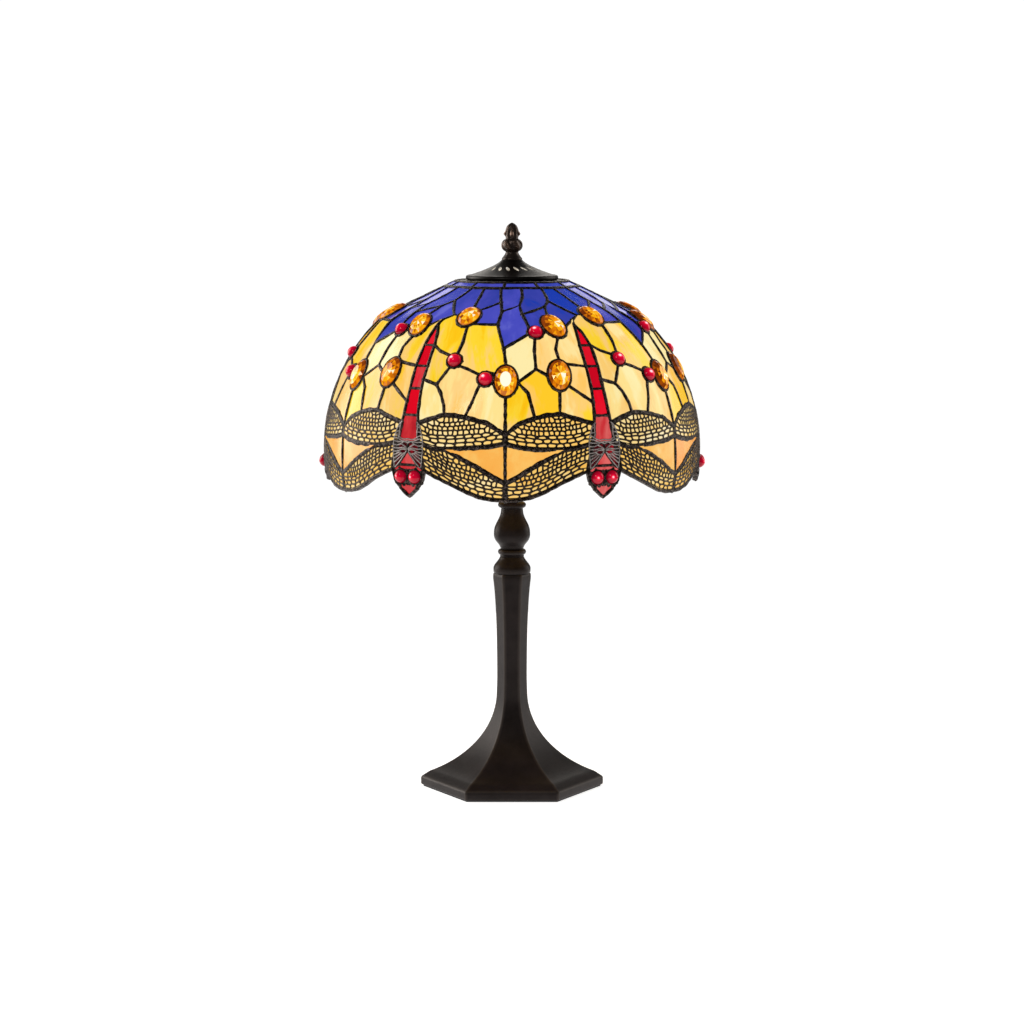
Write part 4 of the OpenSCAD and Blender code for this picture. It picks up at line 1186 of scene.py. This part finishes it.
def wing_cells(top, low, rng):
    """Cells of the mesh, in flat places: long bricks by the low edge, small round holes above them."""
    table = [(along(low, i / SLICES), along(top, i / SLICES)) for i in range(SLICES + 1)]
    lengths = [0.0]
    for here, there in zip(table, table[1:]):
        lengths.append(lengths[-1] + (there[0].lerp(there[1], 0.4) - here[0].lerp(here[1], 0.4)).length)
    whole = lengths[-1]

    def edges_at(x):
        i = min(SLICES - 1, sum(1 for length in lengths[1:] if length <= x))
        share = (x - lengths[i]) / max(lengths[i + 1] - lengths[i], 1e-9)
        return [a.lerp(b, share) for a, b in zip(table[i], table[i + 1])]

    def height(x):
        floor, top_here = edges_at(x)
        return (top_here - floor).length

    def flat_place(place):
        floor, top_here = edges_at(max(0.0, min(whole, place.x)))
        return floor + (top_here - floor).normalized() * unstretched(place.y)

    seeds = []
    depth, row = BORDER + WALL + SEED_IN, 0
    while depth < DEEPEST:
        brick = depth < BRICK_DEPTH
        pitch = LONG_PITCH if brick else ROUND_PITCH
        x = BORDER + pitch * (0.3 if row % 2 else 0.7)
        while x < whole - BORDER - 0.3 * pitch:
            if depth < height(x) - BORDER - SEED_IN:
                moved = depth + rng.uniform(-0.5, 0.5) * MM
                seeds.append(Vector((x + rng.uniform(-0.1, 0.1) * pitch, stretched(moved))))
            x += pitch * rng.uniform(0.7, 1.3)
        depth += LOW_ROW if brick else HIGH_ROW
        row += 1
    cells = []
    for seed in seeds:
        left, right = max(BORDER, seed.x - LONG_PITCH), min(whole - BORDER, seed.x + LONG_PITCH)
        floor, ceiling = stretched(BORDER), seed.y + CELL_UP
        polygon = [Vector(c) for c in ((left, floor), (right, floor), (right, ceiling), (left, ceiling))]
        for other in seeds:
            gap = other - seed
            if 0.2 * MM < gap.length < CELL_REACH:
                polygon = clip(polygon, seed + gap / 2, gap.normalized())
        before, after = (Vector((x, stretched(height(x) - BORDER))) for x in (seed.x - MM, seed.x + MM))
        rise = (after - before).normalized()
        polygon = clip(polygon, (before + after) / 2, Vector((-rise.y, rise.x)))
        if len(polygon) > 2:
            cells.append([flat_place(p) for p in polygon])
    return cells


LEAST_REACH = 0.25 * MM   # From a hole's middle to its nearest side
SHORTEST, BORDER_STEP = 0.05 * MM, 1.6 * MM             # A cell's shortest side, and the steps along its sides
SQUARENESS = 9            # How closely a hole's rounded corners follow those of its cell


def add_cell(builder, polygon, spot):
    """Raised metal around one hole. spot turns a flat place and a lift into a point."""
    centre = sum(polygon, Vector((0, 0))) / len(polygon)
    sides, border = [], []
    for a, b in around_ring(polygon):
        side = b - a
        if side.length < SHORTEST:
            continue
        out = Vector((side.y, -side.x)).normalized()
        if out.dot(a - centre) < 0:
            out = -out
        sides.append((out, max((a - centre).dot(out) - WALL, LEAST_REACH)))
        steps = max(1, round(side.length / BORDER_STEP))
        border += [a.lerp(b, k / steps) for k in range(steps)]
    hole = []
    for p in border:
        ray = (p - centre).normalized()
        total = sum((max(0.0, ray.dot(out)) / reach) ** SQUARENESS for out, reach in sides)
        hole.append(centre + ray * total ** (-1 / SQUARENESS))
    count = len(border)
    rows = [builder.add_points([spot(p, lift) for p in path]) for path, lift in
            ((border, PLATE_LOW), (border, PLATE_HIGH), (hole, HOLE_HIGH), (hole, PLATE_LOW))]
    for low, high in ((1, 2), (2, 3), (3, 0)):
        for k in range(count):
            n = (k + 1) % count
            builder.add_face((rows[low] + k, rows[low] + n, rows[high] + n, rows[high] + k))


def make_filigree():
    rng = random.Random(41)
    builders = {part + "_wing_panes": Builder() for part in ("upper", "lower")}
    for name, top, low in wing_edges():
        middle = sum(s for _, s in top + low) / (len(top) + len(low))
        scale = math.radians(1) * profile(middle)[0]

        def flatten(places):
            return [Vector((angle * scale, -s)) for angle, s in places]

        cells = wing_cells(flatten(top), flatten(low), rng)
        for repeat in range(REPEATS):
            def spot(p, lift):
                return on_shade(p.x / scale + repeat * STEP, -p.y, lift)

            for polygon in cells:
                add_cell(builders[name], polygon, spot)
    for name, builder in builders.items():
        part = name.split("_")[0]
        builder.piece("filigree_" + part, FILIGREE, "shade", "filigree", part + "_filigree", sharp=60)


make_filigree()


# ---- Stand and finial ----

def curve(a, b, c, d, steps):
    """Points of a cubic curve in the plane."""
    out = []
    for t in (i / steps for i in range(steps + 1)):
        weights = ((1 - t) ** 3, 3 * t * (1 - t) ** 2, 3 * t * t * (1 - t), t ** 3)
        out.append(tuple(sum(w * x for w, x in zip(weights, axis)) for axis in zip(a, b, c, d)))
    return out


CORNER_R = 1.6 * MM
ARC_STEPS = 4
WEAR_REACH = 2.2 * MM     # How far the wear of a corner fades into the flat beside it


def six_sided_row(r, z):
    """Hexagon with rounded corners at radius r, a flat side to the front, and the wear of each of its points."""
    apothem = r * math.cos(math.radians(30))
    fillet = min(CORNER_R, apothem * 0.5)
    arc_centre = (apothem - fillet) / math.cos(math.radians(30))

    def on_arc(middle, degrees):
        m, a = math.radians(middle), math.radians(degrees)
        return Vector((arc_centre * math.cos(m) + fillet * math.cos(a),
                       arc_centre * math.sin(m) + fillet * math.sin(a), z))

    points, wear = [], []
    for middle in range(0, 360, 60):
        for i in range(ARC_STEPS + 1):
            points.append(on_arc(middle, middle - 30 + 60 * i / ARC_STEPS))
            wear.append(0.9 if 0 < i < ARC_STEPS else 0.6)
        a, b = points[-1], on_arc(middle + 60, middle + 30)
        near = min(0.25, WEAR_REACH / max((b - a).length, MM))
        points += [a.lerp(b, share) for share in (near, 0.5, 1 - near)]
        wear += [0.0] * 3
    return points, wear


def make_casting():
    """Hexagonal foot and shaft with a hollow underside. The outline is radius, height and wear."""
    outline = [(97, 1.5, 0), (98.6, 2.4, 0.5), (99, 3.6, 0), (99, 9.3, 0), (98.6, 10.5, 0.7), (97.6, 11.4, 0.6),
               (95.8, 12.6, 0)]
    outline += [(r, z, 0) for r, z in curve((89.5, 16.7), (50, 31), (17, 62), (16.7, 105), 26)]
    outline += [(r, z, 0) for r, z in curve((16.3, 118), (16.2, 180), (18.5, 212), (20.5, 227), 14)]
    outline += [(20.6, 229.5, 0), (20.5, 232, 0.2), (20, 233, 0.6), (19, 233.5, 0.4)]
    hollow = [(93, 1.5), (93, 9)] + curve((83, 12), (46, 25), (13, 54), (12.7, 96), 12)
    rows, wears = [], []
    for r, z, worn in outline:
        points, wear = six_sided_row(r * MM, z * MM)
        rows.append(points)
        wears.append([max(w, worn) for w in wear])
    builder = Builder()
    rows = [six_sided_row(r * MM, z * MM)[0] for r, z in hollow[::-1]] + rows
    wears = [[0.0] * len(rows[0])] * len(hollow) + wears
    first = builder.shell(rows, wears)
    builder.end_faces(first, len(rows), len(rows[0]))
    builder.piece("casting", BRONZE, "stand", "bronze", "stand_casting", sharp=38)


def bead_curve(r, z, half, steps):
    """Half-round bulge of half height half on a turned piece."""
    return [(r + half * math.cos(a), z + half * math.sin(a))
            for a in (math.radians(-90 + 180 * i / steps) for i in range(steps + 1))]


PIPE_BORE = 5.4           # Radius in mm


def make_turned(name, outline, worn, node_name, around=80):
    """Smooth turned piece of the neck. worn gives the wear at a radius and height."""
    closed = [(PIPE_BORE, outline[0][1])] + outline + [(PIPE_BORE, outline[-1][1])]
    rows, wears = [], []
    for r, z in closed + closed[:1]:
        rows.append([round_lamp(r, a, z) * MM for a in turns(around)])
        wears.append([worn(r, z)] * around)
    builder = Builder()
    builder.shell(rows, wears)
    builder.piece(name, BRONZE, "stand", "bronze", node_name, sharp=40)


def make_neck():
    """Collar and turned spindle, as radius and height in mm."""
    outline = [(18.9, 233.5), (19.3, 233.6), (19.9, 235), (20, 237.5)]
    outline += curve((20, 238), (20, 243), (14.5, 246), (13, 250.6), 16) + [(12.6, 251)]
    make_turned("collar", outline, lambda r, z: 0.25 if r > 19.8 else 0.0, "neck_collar")
    outline = [(12.4, 251), (12.8, 251.4), (12.8, 252.6)] + bead_curve(12, 256.3, 3.1, 16)[1:] + [(12.2, 260.2)]
    outline += curve((12.8, 261.4), (14, 266), (19.5, 267.5), (19.5, 275.5), 18)
    outline += curve((19.4, 277), (19.5, 287), (12.5, 291), (11.8, 301), 22)[1:] + [(11.6, 303.4)]
    outline += bead_curve(12, 307, 3, 16)[1:] + [(11.2, 310.6), (10.8, 311)]
    make_turned("spindle", outline, lambda r, z: 0.3 if r > 14.4 and z < 262 else 0.0, "turned_spindle")


VENTS = 18                # Leaf-shaped slots round the heat cap
VENT_COLUMNS = 8          # Columns of points for each slot and the metal beside it
VENT_SIDES = (2, 6)       # Columns on the two sides of a slot
VENT_ROWS = (11, 18)      # First and last row of points of a slot
VENT_HALF = 1.8           # Half width of a slot in mm
VENT_LEAN = 0.54          # Sideways lean of a slot in mm for each row outwards
CAP_ROWS = 28
CAP_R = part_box("heat_cap")[1][0] / MM


def cap_column(i, radius, column):
    """Angle of a point in row i of the cap. Columns close in on the outline of each slot."""
    first, last = VENT_ROWS
    sector, place = divmod(column, VENT_COLUMNS)
    side = place - VENT_COLUMNS / 2
    step = 360 / VENTS / VENT_COLUMNS
    share = min(1.0, max(0.0, (i - first) / (last - first)))
    half = math.degrees((VENT_HALF * math.sin(math.pi * share) ** 0.8 + 0.15) / radius)
    half = min(2 * step, half + 0.8 * max(0, first - i, i - last))
    lean = math.degrees(VENT_LEAN * (share - 0.5) * (last - first) / radius)
    if abs(side) <= 2:
        angle = lean + side / 2 * half
    else:
        border = lean + math.copysign(half, side)
        angle = border + (math.copysign(4 * step, side) - border) * (abs(side) - 2) / 2
    return math.radians((sector + 0.5) * 360 / VENTS + angle)


def make_cap():
    """Heat cap with leaf-shaped vents. Its underside is lit, and shows through them."""
    dish = curve((11, 569), (16, 563.5), (31, 557.6), (45, 553.2), CAP_ROWS)
    rim = [(46.5 + 2.7 * math.cos(a), 550.5 + 2.7 * math.sin(a))
           for a in (math.radians(80 - 150 * i / 12) for i in range(13))]
    rim += [(49, 547.5), (CAP_R, 547), (CAP_R, 545), (48, 545), (43.2, 549)]
    under = [(r - 0.5, z - 1.1) for r, z in dish[::-1]]
    section = dish + rim + under + [(5.2, 566.5), (5.2, 569)]
    last = len(section) - 3               # Row i of the dish lies over row last - i of the underside
    around = VENTS * VENT_COLUMNS
    slot_rows = range(*VENT_ROWS)
    builder = Builder()

    def in_slot(k):
        return VENT_SIDES[0] <= k % VENT_COLUMNS < VENT_SIDES[1]

    def quad(*corners):
        builder.add_face([n * around + k % around for n, k in corners])

    for n, (r, z) in enumerate(section):
        i = n if n <= CAP_ROWS else last - n if n > CAP_ROWS + len(rim) else CAP_ROWS
        lit = CAP_ROWS + len(rim) < n <= last
        for k in range(around):
            at = builder.add_points([round_lamp(r, cap_column(max(i, 0), r, k), z) * MM])
            builder.point_tones[at] = (0.0, float(lit), 0.0)
    for n in range(len(section)):
        i, after = n if n < CAP_ROWS else last - n - 1, (n + 1) % len(section)
        for k in range(around):
            if not (i in slot_rows and in_slot(k)):
                quad((n, k), (n, k + 1), (after, k + 1), (after, k))
    for k in range(around):
        if k % VENT_COLUMNS in VENT_SIDES:
            for i in slot_rows:
                quad((i, k), (i + 1, k), (last - i - 1, k), (last - i, k))
        if in_slot(k):
            for i in VENT_ROWS:
                quad((i, k), (i, k + 1), (last - i, k + 1), (last - i, k))
    builder.piece("cap", CAP_BRONZE, "shade", "black_bronze", "heat_cap", sharp=40)


BALL_Z, TIPS_Z, BUD_Z = 584.7, 596.6, 600.5            # Middles of the finial's parts in mm


def make_finial():
    """Cast knob: plain foot, leafy ball, then a bud with curled leaf tips."""
    outline = [(10.6, 569), (10.9, 569.8), (10.7, 570.8)]
    outline += curve((10.3, 571.3), (8.8, 573.4), (7.3, 574.6), (6.7, 577.4), 7)
    outline += curve((7.2, 578.1), (12.2, 579.8), (12.2, 589.2), (6.9, 591.3), 16)
    outline += curve((6.6, 591.9), (6.5, 593), (6.7, 594.4), (6.6, 596.4), 6)
    outline += curve((6.5, 597.6), (6.4, 602.6), (5.0, 607.2), (0.3, 608.5), 14)
    around = 96
    rows, wears = [], []
    for r, z in outline:
        above = z - BALL_Z
        ball = math.exp(-(above / 5.0) ** 4)
        bud = math.exp(-((z - BUD_Z) / 5.4) ** 4)
        tips = math.exp(-((z - TIPS_Z) / 2.1) ** 2)
        row, wear = [], []
        for a in turns(around):
            leaf, vein = -math.cos(6 * a + 0.35 * above), math.cos(18 * a + 0.9 * above)
            relief = ball * (0.55 * leaf - 0.55 * max(0.0, -leaf) + 0.18 * vein)
            relief += bud * (0.42 * math.cos(8 * a) + 0.12 * math.cos(24 * a))
            relief += tips * 2.0 * max(0.0, math.cos(4 * a)) ** 2
            row.append(round_lamp(max(0.2, r + relief) if r > 2 else r, a, z) * MM)
            wear.append(max(0.0, min(1.0, relief * 0.9)))
        rows.append(row)
        wears.append(wear)
    builder = Builder()
    first = builder.shell(rows, wears)
    builder.end_faces(first, len(rows), around)
    builder.piece("finial_knob", FINIAL_BRONZE, "finial", "black_bronze", "finial", sharp=60)


make_casting()
make_neck()
make_cap()
make_finial()


# ---- Studio ----

def make_floor():
    """Pale floor that also glows, so that it stays nearly white."""
    reach, cells = 1.25, 6
    places = [-reach + 2 * reach * i / cells for i in range(cells + 1)]
    builder = Builder()
    builder.grid([[(x, y, 0) for x in places] for y in places])
    mat, tree, shader = material("pale_floor")
    pale = ramp(tree, noise_texture(tree, object_place(tree), 3.0, 3.0), [(0.3, (0.9,) * 3), (0.7, (0.93,) * 3)])
    join(tree, pale, shader.inputs["Base Color"])
    join(tree, pale, shader.inputs["Emission Color"])
    set_inputs(shader, Emission_Strength=0.88, Roughness=0.9)
    linked("floor", builder.mesh("floor", mat, 0))


def area_light(name, place, target_z, size, power):
    """Warm rectangular light, aimed at a height on the lamp's axis and not seen by the camera."""
    light = bpy.data.lights.new(name, "AREA")
    light.shape = "RECTANGLE"
    light.size, light.size_y = size
    light.energy = power
    light.color = (1.0, 0.95, 0.89)
    obj = linked(name, light)
    obj.location = place
    obj.rotation_euler = (Vector((0, 0, target_z)) - Vector(place)).to_track_quat("-Z", "Y").to_euler()
    obj.visible_camera = False


LOW_LIGHT, SEEN_LIGHT = 0.085, 1.05       # Strength of the white background for the lamp and for the camera


def make_world():
    """White behind the lamp, and only a low light from every side, so that the softboxes shape the metal."""
    world = bpy.data.worlds.new("studio")
    world.use_nodes = True
    tree = world.node_tree
    tree.nodes.clear()
    low, seen = (node(tree, "ShaderNodeBackground", in_Color=(1, 1, 1, 1), in_Strength=strength).outputs[0]
                 for strength in (LOW_LIGHT, SEEN_LIGHT))
    mix = node(tree, "ShaderNodeMixShader")
    for i, value in enumerate((node(tree, "ShaderNodeLightPath").outputs["Is Camera Ray"], low, seen)):
        join(tree, value, mix.inputs[i])
    join(tree, mix.outputs[0], node(tree, "ShaderNodeOutputWorld").inputs["Surface"])
    bpy.context.scene.world = world


def make_studio():
    make_floor()
    area_light("softbox_left", (-2.3, 1.0, 1.1), 0.35, (1.7, 2.2), 52)
    area_light("softbox_right", (2.3, 1.1, 1.1), 0.35, (1.5, 2.2), 23)
    area_light("softbox_back", (0, 3.2, 1.7), 0.2, (2.4, 1.0), 16)
    area_light("glint", (-1.3, -2.3, 2.0), 0.4, (0.4, 0.4), 11)
    make_world()
    bpy.context.scene.view_settings.view_transform = "Standard"


CAMERA_AT, CAMERA_PITCH = (0.0, -3.2, 0.675), math.radians(6.7)


def make_camera():
    data = bpy.data.cameras.new("camera")
    data.sensor_width, data.lens = 36, 105.5
    camera = linked("camera", data)
    camera.location = CAMERA_AT
    camera.rotation_euler = (math.radians(90) - CAMERA_PITCH, 0, 0)
    bpy.context.scene.camera = camera


dress_frame()
make_studio()
make_camera()
